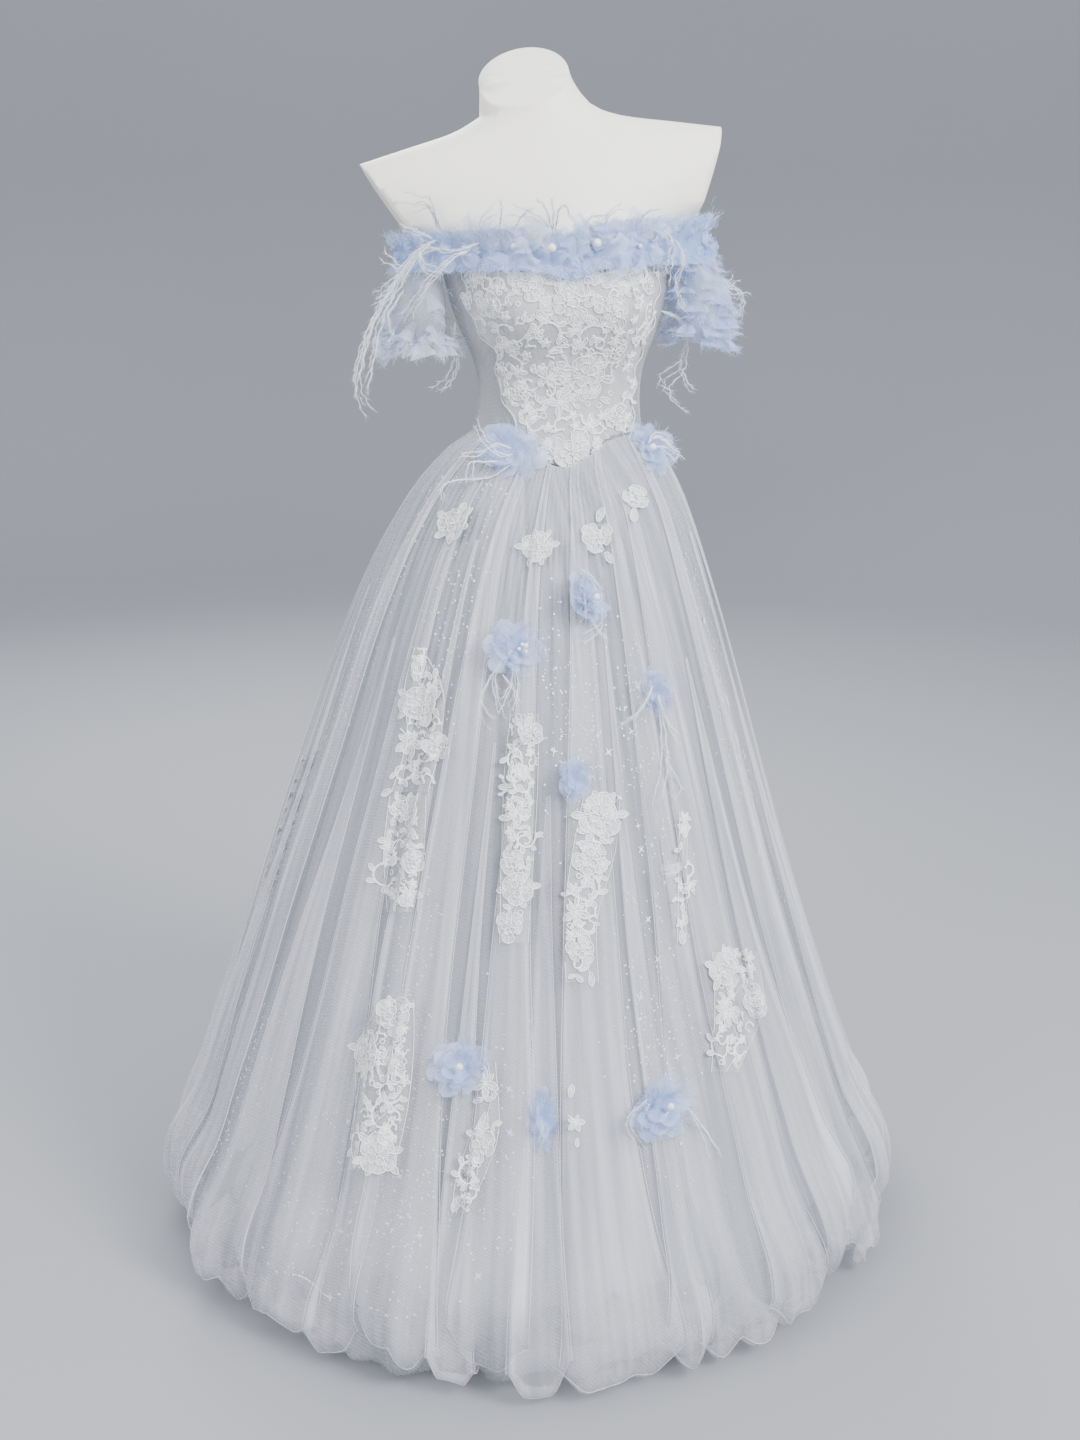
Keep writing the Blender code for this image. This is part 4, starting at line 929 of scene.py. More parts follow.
def fillGround(lace, motifs, flowerShare, otherShare, places, chance, find):
    # small leaves, sprigs, curls and eyelets wherever no larger motif lies
    taken = [(x, y, size / laceLook["pixel"] * (flowerShare if kind in ("flower", "rose") else otherShare))
             for kind, x, y, size, turnAngle in motifs]
    for x, y in places:
        if any(math.hypot(x - takenX, y - takenY) < reach for takenX, takenY, reach in taken):
            continue
        patch = dict(lace, **clothFrame(*find(x, y)))
        turnAngle = chance.uniform(0, 6.28)
        choice = chance.random()
        size = chance.uniform(0.0075, 0.0115)
        if choice < 0.46:
            laceLeaf(patch, size * 1.25, turnAngle)
            laceLeaf(patch, size, turnAngle + chance.uniform(1.2, 2.4))
        elif choice < 0.66:
            laceSprig(patch, size * 0.95, turnAngle)
        elif choice < 0.86:
            laceScroll(patch, size, turnAngle, chance.choice((-1, 1)), leaves=2)
        else:
            laceEyelet(patch, size * 0.32, turnAngle)


def addLace(name, lace, replaced):
    # the raised cords are one piece, and the petals that they edge another
    piece = addPiece(name, strandMesh(name, lace["cords"]), laceThread, "lace", [replaced])
    addPiece(name + "_petals", toMesh(lace["bm"], name), laceFill, "lace")
    return piece


# motif, place in the front view, size in metres, turn in radians
bodiceMotifs = (
    ("flower", 527, 283, 0.024, 0.3), ("flower", 566, 303, 0.032, 1.0), ("flower", 583, 277, 0.024, 0.6),
    ("rose", 625, 270, 0.026, 0.2), ("flower", 613, 312, 0.025, 1.3), ("sprig", 474, 280, 0.015, 0.6),
    ("flower", 489, 306, 0.018, 0.1), ("scroll", 508, 330, 0.020, 1.2), ("hook", 545, 333, 0.020, 2.6),
    ("scroll", 597, 337, 0.024, 3.4), ("flower", 614, 352, 0.017, 0.8), ("scroll", 511, 366, 0.016, 0.0),
    ("rose", 585, 374, 0.032, 0.5), ("sprig", 548, 378, 0.022, 0.2), ("flower", 519, 391, 0.014, 0.9),
    ("sprig", 560, 402, 0.020, 2.2), ("hook", 537, 424, 0.018, 1.0), ("flower", 571, 452, 0.030, 0.4),
    ("flower", 616, 418, 0.018, 0.2), ("scroll", 612, 450, 0.021, 0.8), ("sprig", 588, 425, 0.016, 1.4),
    ("leaf", 536, 310, 0.020, 2.4), ("leaf", 548, 352, 0.018, 1.2), ("sprig", 640, 305, 0.015, 0.4),
    ("leaf", 520, 352, 0.015, 4.4), ("sprig", 498, 288, 0.013, 5.2), ("leaf", 590, 345, 0.014, 0.4),
    ("sprig", 542, 455, 0.017, 1.8), ("leaf", 600, 398, 0.015, 2.0), ("sprig", 507, 345, 0.012, 3.0),
    ("hook", 640, 335, 0.013, 0.5), ("sprig", 598, 465, 0.012, 2.9), ("flower", 468, 300, 0.012, 0.5),
    ("sprig", 632, 385, 0.011, 0.2), ("flower", 648, 285, 0.014, 0.9), ("leaf", 560, 335, 0.013, 3.3),
)


# how far the lace reaches to either side in the front view: height, left and right edge
laceEdges = ((272, 464, 660), (300, 468, 656), (330, 478, 650), (352, 496, 640), (380, 498, 634),
             (410, 508, 632), (440, 526, 632), (468, 540, 630))
# the ground's rows and the distance between its motifs, in pixels of the front view
groundLook = dict(seed=17, rows=17, top=270, rowStep=12.2, step=12.5, waver=3)


def makeBodiceLace():
    tree = treeOf(bodiceOuter.data)
    lace = newLace(tree, -0.03)

    def find(x, y):
        return seenOn(tree, x, y)

    drawMotifs(lace, bodiceMotifs, find)
    chance = random.Random(groundLook["seed"])
    waver = groundLook["waver"]
    places = []
    for row in range(groundLook["rows"]):
        y = groundLook["top"] + groundLook["rowStep"] * row
        left, right = readRow(laceEdges, y)
        count = int((right - left) / groundLook["step"])
        places += [(lerp(left, right, (i + 0.5) / count) + chance.uniform(-waver, waver),
                    y + chance.uniform(-waver, waver)) for i in range(count)]
    fillGround(dict(lace, least=-0.003), bodiceMotifs, 0.85, 0.45, places, chance, find)
    for side in (0, 1):
        heights = range(272, 466, 6)
        edge = [readRow(laceEdges, y)[side] + 2.5 * math.sin(y / 5.0) for y in heights]
        addCord(lace, [seenOn(tree, x, y, 0.0014)[0] for x, y in zip(edge, heights)], laceLook["cord"])
    piece = addLace("bodice_lace", lace, "lace_front")

    def ground(u, v):
        y = lerp(468, 272, v)
        left, right = readRow(laceEdges, y)
        return seenOn(tree, lerp(left, right, u), y, 0.0009)[0]

    net = addPiece("bodice_lace_net", clothMesh("bodice_lace_net", 70, 56, ground), bodiceGround, "lace")
    print("  lace net area", round(clothArea(net), 4), "lace triangles", len(piece.data.polygons))


makeBodiceLace()

# each lace piece of the skirt: its motifs as above
skirtLace = {
    "flower_a": (("rose", 458, 524, 0.026, 0.2),),
    "flower_b": (("rose", 538, 547, 0.022, 0.0),),
    "flower_c": (("flower", 599, 538, 0.020, 0.5), ("leaf", 598, 522, 0.020, 0.1),
                 ("leaf", 606, 552, 0.017, 2.5)),
    "flower_d": (("flower", 636, 497, 0.018, 0.9), ("leaf", 634, 508, 0.020, 3.1)),
    "spray_a": (("leaf", 416, 682, 0.034, 0.1), ("rose", 425, 705, 0.027, 0.4),
                ("flower", 437, 745, 0.019, 1.0), ("sprig", 411, 742, 0.022, 2.9),
                ("scroll", 404, 770, 0.017, 0.5), ("leaf", 392, 790, 0.016, 4.2)),
    "spray_b": (("flower", 408, 812, 0.021, 0.2), ("scroll", 402, 846, 0.021, 1.3),
                ("flower", 413, 862, 0.016, 0.8), ("hook", 390, 878, 0.018, 0.3),
                ("sprig", 409, 893, 0.019, 2.9)),
    "spray_c": (("flower", 530, 732, 0.019, 0.1), ("scroll", 518, 757, 0.018, 2.1),
                ("hook", 525, 784, 0.017, 0.3), ("sprig", 516, 811, 0.020, 2.9),
                ("scroll", 524, 836, 0.017, 1.1), ("flower", 512, 862, 0.017, 0.7),
                ("rose", 518, 889, 0.022, 0.0), ("flower", 510, 927, 0.019, 0.5)),
    "spray_d": (("rose", 600, 816, 0.029, 0.3), ("flower", 590, 858, 0.025, 0.9),
                ("scroll", 584, 890, 0.020, 0.4), ("sprig", 576, 912, 0.020, 3.0),
                ("flower", 581, 950, 0.020, 0.2), ("leaf", 590, 972, 0.018, 3.3)),
    "spray_e": (("leaf", 684, 838, 0.022, 0.2), ("leaf", 682, 862, 0.020, 3.3),
                ("sprig", 684, 888, 0.013, 0.1), ("leaf", 682, 910, 0.018, 3.0),
                ("leaf", 681, 930, 0.018, 3.2)),
    "spray_f": (("rose", 726, 968, 0.027, 0.6), ("flower", 748, 1003, 0.024, 0.2),
                ("sprig", 724, 1012, 0.022, 3.1), ("hook", 722, 1048, 0.020, 0.8)),
    "spray_g": (("flower", 395, 1016, 0.025, 0.4), ("rose", 368, 1052, 0.026, 0.1),
                ("sprig", 392, 1062, 0.021, 0.6), ("scroll", 388, 1090, 0.018, 1.4),
                ("hook", 384, 1118, 0.020, 0.4), ("scroll", 358, 1142, 0.020, 2.2),
                ("rose", 378, 1154, 0.027, 0.9)),
    "spray_h": (("leaf", 570, 1098, 0.016, 0.2), ("sprig", 575, 1122, 0.013, 2.9),
                ("leaf", 577, 1138, 0.011, 3.4), ("sprig", 486, 1082, 0.020, 3.0),
                ("leaf", 487, 1112, 0.026, 3.2), ("flower", 482, 1146, 0.021, 0.6),
                ("hook", 470, 1176, 0.018, 0.9), ("leaf", 459, 1196, 0.020, 3.6)),
}
# on the sides and back: angle from the front, then height, for a run of motifs down the skirt
hiddenLace = {"spray_i": (104, 0.580), "spray_j": (168, 0.640), "spray_k": (-108, 0.500)}
hiddenRun = (("flower", -1, -64, 0.019, 0.3), ("leaf", 4, -40, 0.020, 1.6), ("flower", -4, -24, 0.021, 2.9),
             ("scroll", 4, -2, 0.019, 4.2), ("hook", -4, 20, 0.019, 5.5), ("flower", 3, 44, 0.022, 0.5),
             ("sprig", -2, 68, 0.021, 1.8))
hiddenStrip = ((0, -80, 14), (3, -20, 17), (-2, 40, 16), (0, 80, 12))

# the strips that they lie in: place in the front view and half width along each
laceStrips = {
    "spray_a": ((419, 648, 4), (424, 690, 19), (424, 740, 17), (410, 792, 18)),
    "spray_b": ((408, 796, 18), (404, 850, 20), (403, 912, 15)),
    "spray_c": ((524, 714, 14), (520, 800, 17), (514, 943, 14)),
    "spray_d": ((602, 792, 18), (594, 850, 21), (580, 920, 17), (582, 982, 16)),
    "spray_e": ((683, 812, 4), (681, 942, 4)),
    "spray_f": ((734, 952, 22), (738, 1008, 24), (724, 1072, 13)),
    "spray_g": ((398, 1000, 16), (386, 1050, 28), (382, 1110, 26), (372, 1170, 22)),
    "spray_h": ((488, 1062, 8), (485, 1130, 14), (470, 1178, 14), (458, 1214, 6)),
}


# in pixels of the front view: the ground's rows and columns, how far its motifs stray, the net's cells
# and the winding stem's turns
stripLook = dict(rowStep=10.5, step=11, waver=2, cell=5, turn=13, across=0.45,
                 netLift=0.0008, cordLift=0.0013)


def makeStrip(name, net, rows, motifs, chance, find, least):
    # a cut length of lace: its motifs, net, cords along its cut edges, a winding stem and a filled ground
    lace = newLace(skirtTree, least)
    drawMotifs(lace, motifs, find)
    if rows:
        table = [(i / (len(rows) - 1), *row) for i, row in enumerate(rows)]
        long = math.hypot(rows[-1][0] - rows[0][0], rows[-1][1] - rows[0][1])
        waver = stripLook["waver"]
        places = []
        for step in range(int(long / stripLook["rowStep"])):
            x, y, half = readRow(table, (step + 0.5) * stripLook["rowStep"] / long)
            count = max(int(2 * half / stripLook["step"]), 1)
            places += [(x + half * (2 * (i + 0.5) / count - 1) * 0.86 + chance.uniform(-waver, waver),
                        y + chance.uniform(-waver, waver)) for i in range(count)]
        fillGround(lace, motifs, 0.8, 0.4, places, chance, find)

        def ground(u, v):
            x, y, half = readRow(table, 1 - v)
            point, normal = find(x + half * (2 * u - 1), y)
            return point + normal * stripLook["netLift"]

        addPatch(net, 10, max(int(long / stripLook["cell"]), 6), ground)
        for across, turns in ((-1, 0), (1, 0), (stripLook["across"], long / stripLook["turn"])):
            points = []
            for k in range(41):
                x, y, half = readRow(table, k / 40)
                point, normal = find(x + across * half * (math.sin(turns * k / 40) if turns else 1), y)
                points.append(point + normal * stripLook["cordLift"])
            addCord(lace, points, laceLook["vein"])
    addLace("skirt_lace_" + name, lace, "lace_" + name)


def makeSkirtLace():
    net = bmesh.new()
    chance = random.Random(29)
    for name, motifs in skirtLace.items():
        makeStrip(name, net, laceStrips.get(name), motifs, chance,
                  lambda x, y: seenOn(skirtTree, x, y), -0.003)
    for name, (degrees, height) in hiddenLace.items():

        def find(x, y):
            across = math.degrees(x * laceLook["pixel"] / plainReach(degrees, 0.5))
            return onCloth(skirtTree, degrees + across, height - y * laceLook["pixel"])

        makeStrip(name, net, hiddenStrip, hiddenRun, chance, find, -0.002)
    piece = addPiece("skirt_lace_net", toMesh(net, "skirt_lace_net"), laceNet, "lace")


makeSkirtLace()
print("lace done")


# Feather strands: a soft stem with short barbs

featherLook = dict(stem=0.00054, skirtStem=0.00086, chestStem=0.00044, neckStem=0.0004, bend=0.0012,
                   skirtBend=0.0007, chestBend=0.0008, tipShare=0.34, drift=0.008, barbEvery=0.0015,
                   barbLength=0.0070, barbRadius=0.00016)


def anyWay(chance):
    return Vector((chance.gauss(0, 1), chance.gauss(0, 1), chance.gauss(0, 1)))


def featherStrand(points, chance, strands, stem=featherLook["stem"], bend=featherLook["bend"], bundle=1):
    # each strand of a bundle drifts away from the first, wavers, and carries barbs that lean to its tip
    for single in range(bundle):
        drift = Vector((chance.gauss(0, 1), chance.gauss(0, 0.5), chance.gauss(0, 1))) \
            * featherLook["drift"] * min(single, 1)
        path = smoothPath([p + drift * i / (len(points) - 1) for i, p in enumerate(points)])
        phase = chance.uniform(0, 6)
        count = len(path)
        for i in range(count):
            path[i] += Vector((math.sin(i * 1.7 + phase), math.cos(i * 1.3), math.sin(i * 0.9 + phase))) \
                * bend * min(i / 6, 1.0)
        thin = stem * featherLook["tipShare"]
        strands.append((path, [lerp(stem, thin, (i / (count - 1)) ** 1.5) for i in range(count)]))
        for start, end in zip(path, path[1:]):
            step = end - start
            if step.length < 1e-6:
                continue
            along = step.normalized()
            for _ in range(max(1, int(step.length / featherLook["barbEvery"]))):
                root = start + step * chance.random()
                aside = along.cross(anyWay(chance)).normalized()
                reach = featherLook["barbLength"] * chance.uniform(0.5, 1.3)
                tip = root + (aside * 0.5 + along * 0.9).normalized() * reach
                strands.append(([root, tip], [featherLook["barbRadius"], featherLook["barbRadius"] * 0.4]))


# Flowers: crumpled tulle petals in three rings, with loose fibres and pearls. Each ring has its number
# of petals, their reach, how far they cup upwards and their turn
bloomLook = dict(rings=((5, 1.08, 0.10, 0.0), (5, 0.86, 0.40, 0.5), (4, 0.60, 0.75, 0.2)),
                 overlap=1.45, crumple=0.34, ripple=0.15, fibres=210, fibreRadii=(0.00020, 0.00017, 0.00008),
                 pearl=0.0034, lonePearl=1.35)
# name, place in the front view or None, angle and height for the hidden ones, size, squeeze, pearls
blooms = (
    ("waist_right", (511, 453), None, 0.033, 1.20, 0), ("waist_left", (648, 450), None, 0.031, 1.00, 1),
    ("skirt_a", (583, 600), None, 0.033, 0.85, 1), ("skirt_b", (515, 650), None, 0.034, 1.15, 4),
    ("skirt_c", (655, 692), None, 0.030, 0.62, 0), ("skirt_d", (575, 780), None, 0.028, 0.60, 0),
    ("skirt_e", (460, 1066), None, 0.032, 1.00, 1), ("skirt_f", (541, 1118), None, 0.034, 0.50, 0),
    ("skirt_g", (660, 1107), None, 0.032, 1.45, 1), ("skirt_h", None, (128, 0.740), 0.031, 0.9, 2),
    ("skirt_i", None, (218, 0.480), 0.031, 0.9, 1),
)
bloomFrames = {}


def bloomPetals(bm, patch, size, squeeze, seed):
    for ring, (count, reach, cup, shift) in enumerate(bloomLook["rings"]):
        for petal in range(count):

            def where(u, v):
                spread = (2 * u - 1) * math.pi / count * bloomLook["overlap"]
                rim = 1 - 0.24 * abs(2 * u - 1) ** 2.5 + 0.20 * math.sin(7 * u + petal * 2.1 + seed)
                away = size * reach * v * rim
                dx, dy = polar(away, 2 * math.pi * (petal + shift) / count + 0.3 * seed + spread)
                dx *= squeeze
                ripple = size * bloomLook["ripple"] * v * v * math.sin(9 * u + petal * 1.9 + seed)
                rough = noise.noise(Vector((dx, dy, 0.02 * ring + 0.05 * seed)) * 70) \
                    * size * bloomLook["crumple"] * v
                lift = 0.0016 + size * (0.05 * ring + cup * v ** 1.4 * 0.55) + ripple + rough
                return (patch["middle"] + patch["right"] * dx + patch["rise"] * dy
                        + patch["out"] * max(lift, 0.0010))

            addPatch(bm, 9, 8, where)


def makeBlooms():
    for index, (name, seen, hidden, size, squeeze, pearls) in enumerate(blooms):
        chance = random.Random(40 + index)
        point, normal = seenOn(skirtTree, *seen) if seen else onCloth(skirtTree, *hidden)
        if name.startswith("waist"):
            # these two stand up from the seam towards the eye
            aside = 0.25 if name.endswith("left") else -0.25
            normal = (normal * 0.35 - sightForward + sightRight * aside).normalized()
        patch = clothFrame(point, normal)
        bloomFrames[name] = patch
        bm = bmesh.new()
        bloomPetals(bm, patch, size, squeeze, index + 1)
        piece = addPiece("bloom_" + name + "_tulle", toMesh(bm, name), blueVeil, "blue_tulle",
                         ["bloom_" + name])
        strands = []
        for _ in range(bloomLook["fibres"]):
            angle = chance.uniform(0, 2 * math.pi)
            away = size * chance.uniform(0.30, 1.0)
            direction = (patch["right"] * math.sin(angle) * squeeze + patch["rise"] * math.cos(angle))
            root = patch["middle"] + direction * away + patch["out"] * size * chance.uniform(0.1, 0.45)
            tip = root + (direction * chance.uniform(0.3, 1.0) + patch["out"] * chance.uniform(-0.1, 0.6)) \
                * size * chance.uniform(0.2, 0.5)
            strands.append(([root, root.lerp(tip, 0.5) + up * size * 0.04, tip], bloomLook["fibreRadii"]))
        addPiece("bloom_" + name + "_fibres", strandMesh(name, strands), blueFibre, "blue_tulle")
        if pearls:
            bm = bmesh.new()
            for k in range(pearls):
                growth = bloomLook["lonePearl"] if pearls == 1 else chance.uniform(0.6, 1.0)
                radius = bloomLook["pearl"] * growth
                dx, dy = polar(0.0 if pearls == 1 else size * 0.16, 2.4 * k)
                place = (patch["middle"] + patch["out"] * (size * 0.50 + radius)
                         + patch["right"] * dx + patch["rise"] * dy)
                bmesh.ops.create_uvsphere(bm, u_segments=16, v_segments=10, radius=radius,
                                          matrix=Matrix.Translation(place))
            addPiece("bloom_" + name + "_pearls", toMesh(bm, name), nacre, "lace")


makeBlooms()
print("flowers done")

# strands of each feather tuft: points in the front view that lie over the skirt
skirtStrands = {
    "waist_right": (((514, 456), (501, 456), (485, 445), (474, 426)),
                    ((511, 467), (490, 477), (447, 483), (444, 499)),
                    ((506, 464), (487, 462), (469, 464), (466, 483)),
                    ((512, 450), (496, 444), (480, 452), (462, 452))),
    "waist_left": (((650, 440), (660, 438), (670, 446), (679, 454), (671, 461)),
                   ((640, 462), (636, 474), (643, 496)), ((650, 448), (664, 450), (676, 462)),
                   ((646, 444), (656, 432), (668, 436))),
    "skirt_a": (((577, 572), (596, 583), (598, 604), (581, 622)), ((577, 588), (592, 600), (584, 622)),
                ((590, 612), (600, 624), (584, 634)), ((580, 596), (588, 616), (600, 640))),
    "skirt_b": (((507, 652), (491, 684), (482, 703), (493, 719)), ((504, 659), (494, 680), (499, 714)),
                ((507, 665), (514, 684), (510, 706)), ((500, 676), (512, 690), (519, 706)),
                ((508, 660), (520, 684), (517, 712))),
    "skirt_c": (((648, 687), (638, 710), (619, 724)), ((651, 697), (659, 729), (660, 767), (648, 805)),
                ((654, 697), (667, 725), (676, 742)), ((660, 760), (680, 786), (671, 800))),
    "skirt_g": (((640, 1100), (625, 1121), (639, 1149)), ((642, 1104), (640, 1122), (648, 1135)),
                ((682, 1108), (707, 1135), (721, 1154)), ((660, 1112), (655, 1128), (668, 1136))),
}
# the hidden tuft hangs from its flower: how far each point of its four strands falls
hiddenFalls = (0.0, 0.022, 0.046, 0.072)


def makeSkirtFeathers():
    look = dict(stem=featherLook["skirtStem"], bend=featherLook["skirtBend"])
    for index, (name, paths) in enumerate(skirtStrands.items()):
        chance = random.Random(70 + index)
        patch = bloomFrames[name]
        strands = []
        for k, path in enumerate(paths):
            if name.startswith("waist"):
                points = [seenAt(x, y, patch["middle"].y - 0.010 - 0.004 * i)
                          for i, (x, y) in enumerate(path)]
            else:
                points = [seenOn(skirtTree, x, y, 0.006 + 0.004 * math.sin(2.0 * i + k))[0]
                          for i, (x, y) in enumerate(path)]
            points[0] = points[0] + patch["out"] * 0.010
            featherStrand(points, chance, strands, bundle=2, **look)
        addPiece("feathers_" + name, strandMesh(name, strands), featherFibre, "feather", ["tuft_" + name])
    chance = random.Random(90)
    patch = bloomFrames["skirt_h"]
    strands = []
    for k in range(4):
        aside = (k - 1.5) * 0.014
        points = [patch["middle"] + patch["right"] * aside * (0.3 + i / 2.2) - patch["rise"] * fall
                  + patch["out"] * (0.016 - 0.003 * i) for i, fall in enumerate(hiddenFalls)]
        featherStrand(points, chance, strands, **look)
    addPiece("feathers_skirt_h", strandMesh("skirt_h", strands), featherFibre, "feather", ["tuft_skirt_h"])


makeSkirtFeathers()
print("skirt feathers done")


# Neckline trim: a gathered frill, crumpled tulle puffs, loose fibres, feathers and pearls

ruffleTree = smoothTree(["neck_ruffle"], 1)
trimLook = dict(seed=21, height=1.297, dip=0.012, dipSpread=14, halfBand=0.026, frillReach=0.024, waves=44,
                waveDepth=0.0036, puffs=190, puffLength=0.033, fibres=3600, fibreLength=0.018,
                fibreRadii=(0.00019, 0.00015, 0.00007))


def trimPoint(degrees, rise, lift):
    # a place on the frill's solid, above or below its middle line by the rise
    z = trimLook["height"] - trimLook["dip"] * bell(frontDegrees(degrees), trimLook["dipSpread"])
    x = (0.14 + 0.045 * bell(90 - frontDegrees(degrees), 20)) * sine(degrees)
    reach = trimLook["frillReach"]
    within = max(min(rise, reach), -reach)
    point = onCloth(ruffleTree, degrees, tilted(x, z + within))[0]
    if point is None:
        point = ruffleTree.find_nearest(around(degrees, 0.15, z))[0]
    outward = facing(math.radians(degrees))
    return point + outward * lift + up * (rise - within), outward


def shoulderShare(degrees):
    # the trim lies flatter over the shoulders
    return 1 - 0.5 * bell(90 - frontDegrees(degrees), 20)


def addScrap(bm, columns, rows, root, tip, side, outward, length, halfAt, phase, look):
    # a crumpled scrap of tulle that stands out from its root; gives back where its points lie
    def where(u, v):
        bulge = look["bulge"] * length * math.sin(math.pi * v)
        ripple = look["ripple"] * length * v * math.sin(look["ripples"] * u + phase)
        rough = noise.noise(Vector((u * 3 + phase, v * 3, phase))) * length * look["rough"] * v
        return (root + tip * length * v + side * halfAt(v) * (2 * u - 1) + outward * (bulge + ripple + rough)
                - up * length * look["droop"] * v * v)

    addPatch(bm, columns, rows, where)
    return where


puffScrap = dict(bulge=0.26, ripple=0.10, ripples=8, rough=0.12, droop=0.0)
ruffleScrap = dict(bulge=0.0, ripple=0.16, ripples=9, rough=0.16, droop=0.3)


def makeNeckTrim():
    def frill(u, v):
        degrees = 360 * u
        rise = lerp(-trimLook["halfBand"], trimLook["halfBand"], v)
        flare = abs(2 * v - 1) ** 1.3
        angle = math.radians(degrees)
        wave = math.sin(trimLook["waves"] * angle + 2.5 * math.sin(4 * angle)) \
            * (0.7 + 0.3 * math.sin(9 * angle))
        rough = noise.noise(Vector((degrees / 6, v * 3, 0.3))) * 0.003 * flare
        ragged = 0.004 * noise.noise(Vector((degrees / 2.5, v * 2, 5.0))) * flare
        return trimPoint(degrees, rise + ragged, 0.0012 + trimLook["waveDepth"] * wave * flare + rough)[0]

    mesh = clothMesh("neck_frill", 720, 12, frill, closed=True)
    piece = addPiece("neck_frill", mesh, blueTulle, "blue_tulle", ["neck_ruffle"])
    print("  frill area", round(clothArea(piece), 4))

    chance = random.Random(trimLook["seed"])
    blue, pale = bmesh.new(), bmesh.new()
    for i in range(trimLook["puffs"]):
        degrees = 360 * (i + chance.uniform(-0.4, 0.4)) / trimLook["puffs"]
        rise = chance.uniform(-0.018, 0.016) if i % 3 else chance.uniform(0.004, 0.020)
        middle, outward = trimPoint(degrees, rise, 0.003)
        across = up.cross(outward).normalized()
        tip = (up * chance.uniform(-0.55, 0.75) + across * chance.choice((-1, 1)) * chance.uniform(0.3, 1.0)
               + outward * chance.uniform(0.05, 0.35)).normalized()
        length = trimLook["puffLength"] * chance.uniform(0.5, 1.15) * shoulderShare(degrees)
        width = length * chance.uniform(0.6, 1.0)
        addScrap(blue if i % 3 else pale, 8, 7, middle, tip, tip.cross(outward).normalized(), outward, length,
                 lambda v: width / 2 * (0.35 + 0.65 * math.sin(math.pi * min(v + 0.15, 0.9))),
                 chance.uniform(0, 6), puffScrap)
    for name, bm, material in (("neck_puffs", blue, blueVeil), ("neck_veils", pale, paleVeil)):
        puffs = addPiece(name, toMesh(bm, name), material, "blue_tulle")

    strands = []
    for _ in range(trimLook["fibres"]):
        degrees = chance.uniform(0, 360)
        rise = chance.choice((-1, 1)) * chance.uniform(0.010, 0.027)
        root, outward = trimPoint(degrees, rise, chance.uniform(0.003, 0.012))
        across = up.cross(outward).normalized()
        direction = (up * (1 if rise > 0 else -1) * chance.uniform(0.2, 1.0) + across * chance.gauss(0, 0.7)
                     + outward * chance.uniform(0.1, 0.9)).normalized()
        reach = trimLook["fibreLength"] * chance.uniform(0.4, 1.1) * shoulderShare(degrees)
        bend = across * reach * chance.uniform(-0.25, 0.25)
        strands.append(([root, root + direction * reach * 0.55 + bend, root + direction * reach],
                        trimLook["fibreRadii"]))
    addPiece("neck_fibres", strandMesh("neck_fibres", strands), blueFibre, "blue_tulle")

    bm = bmesh.new()
    for x, y, radius in ((552, 248, 0.0052), (597, 243, 0.0056), (513, 246, 0.0030), (640, 246, 0.0030)):
        place = seenAt(x, y, trimPoint((x - 560) * 0.62, 0.0, 0.016)[0].y)
        bmesh.ops.create_uvsphere(bm, u_segments=20, v_segments=12, radius=radius,
                                  matrix=Matrix.Translation(place))
    addPiece("neck_pearls", toMesh(bm, "neck_pearls"), nacre, "lace")


makeNeckTrim()
print("neckline done")


# Sleeves: on the right arm a hanging pale puff, on the left arm a cluster of blue ruffles

sleeveLook = dict(rows=24, columns=200, bulge=0.020, frill=0.021, wave=0.0040, fineWave=0.0014, rough=0.008,
                  fibres=16, fibreLength=0.010, fibreRadii=(0.00017, 0.00008))


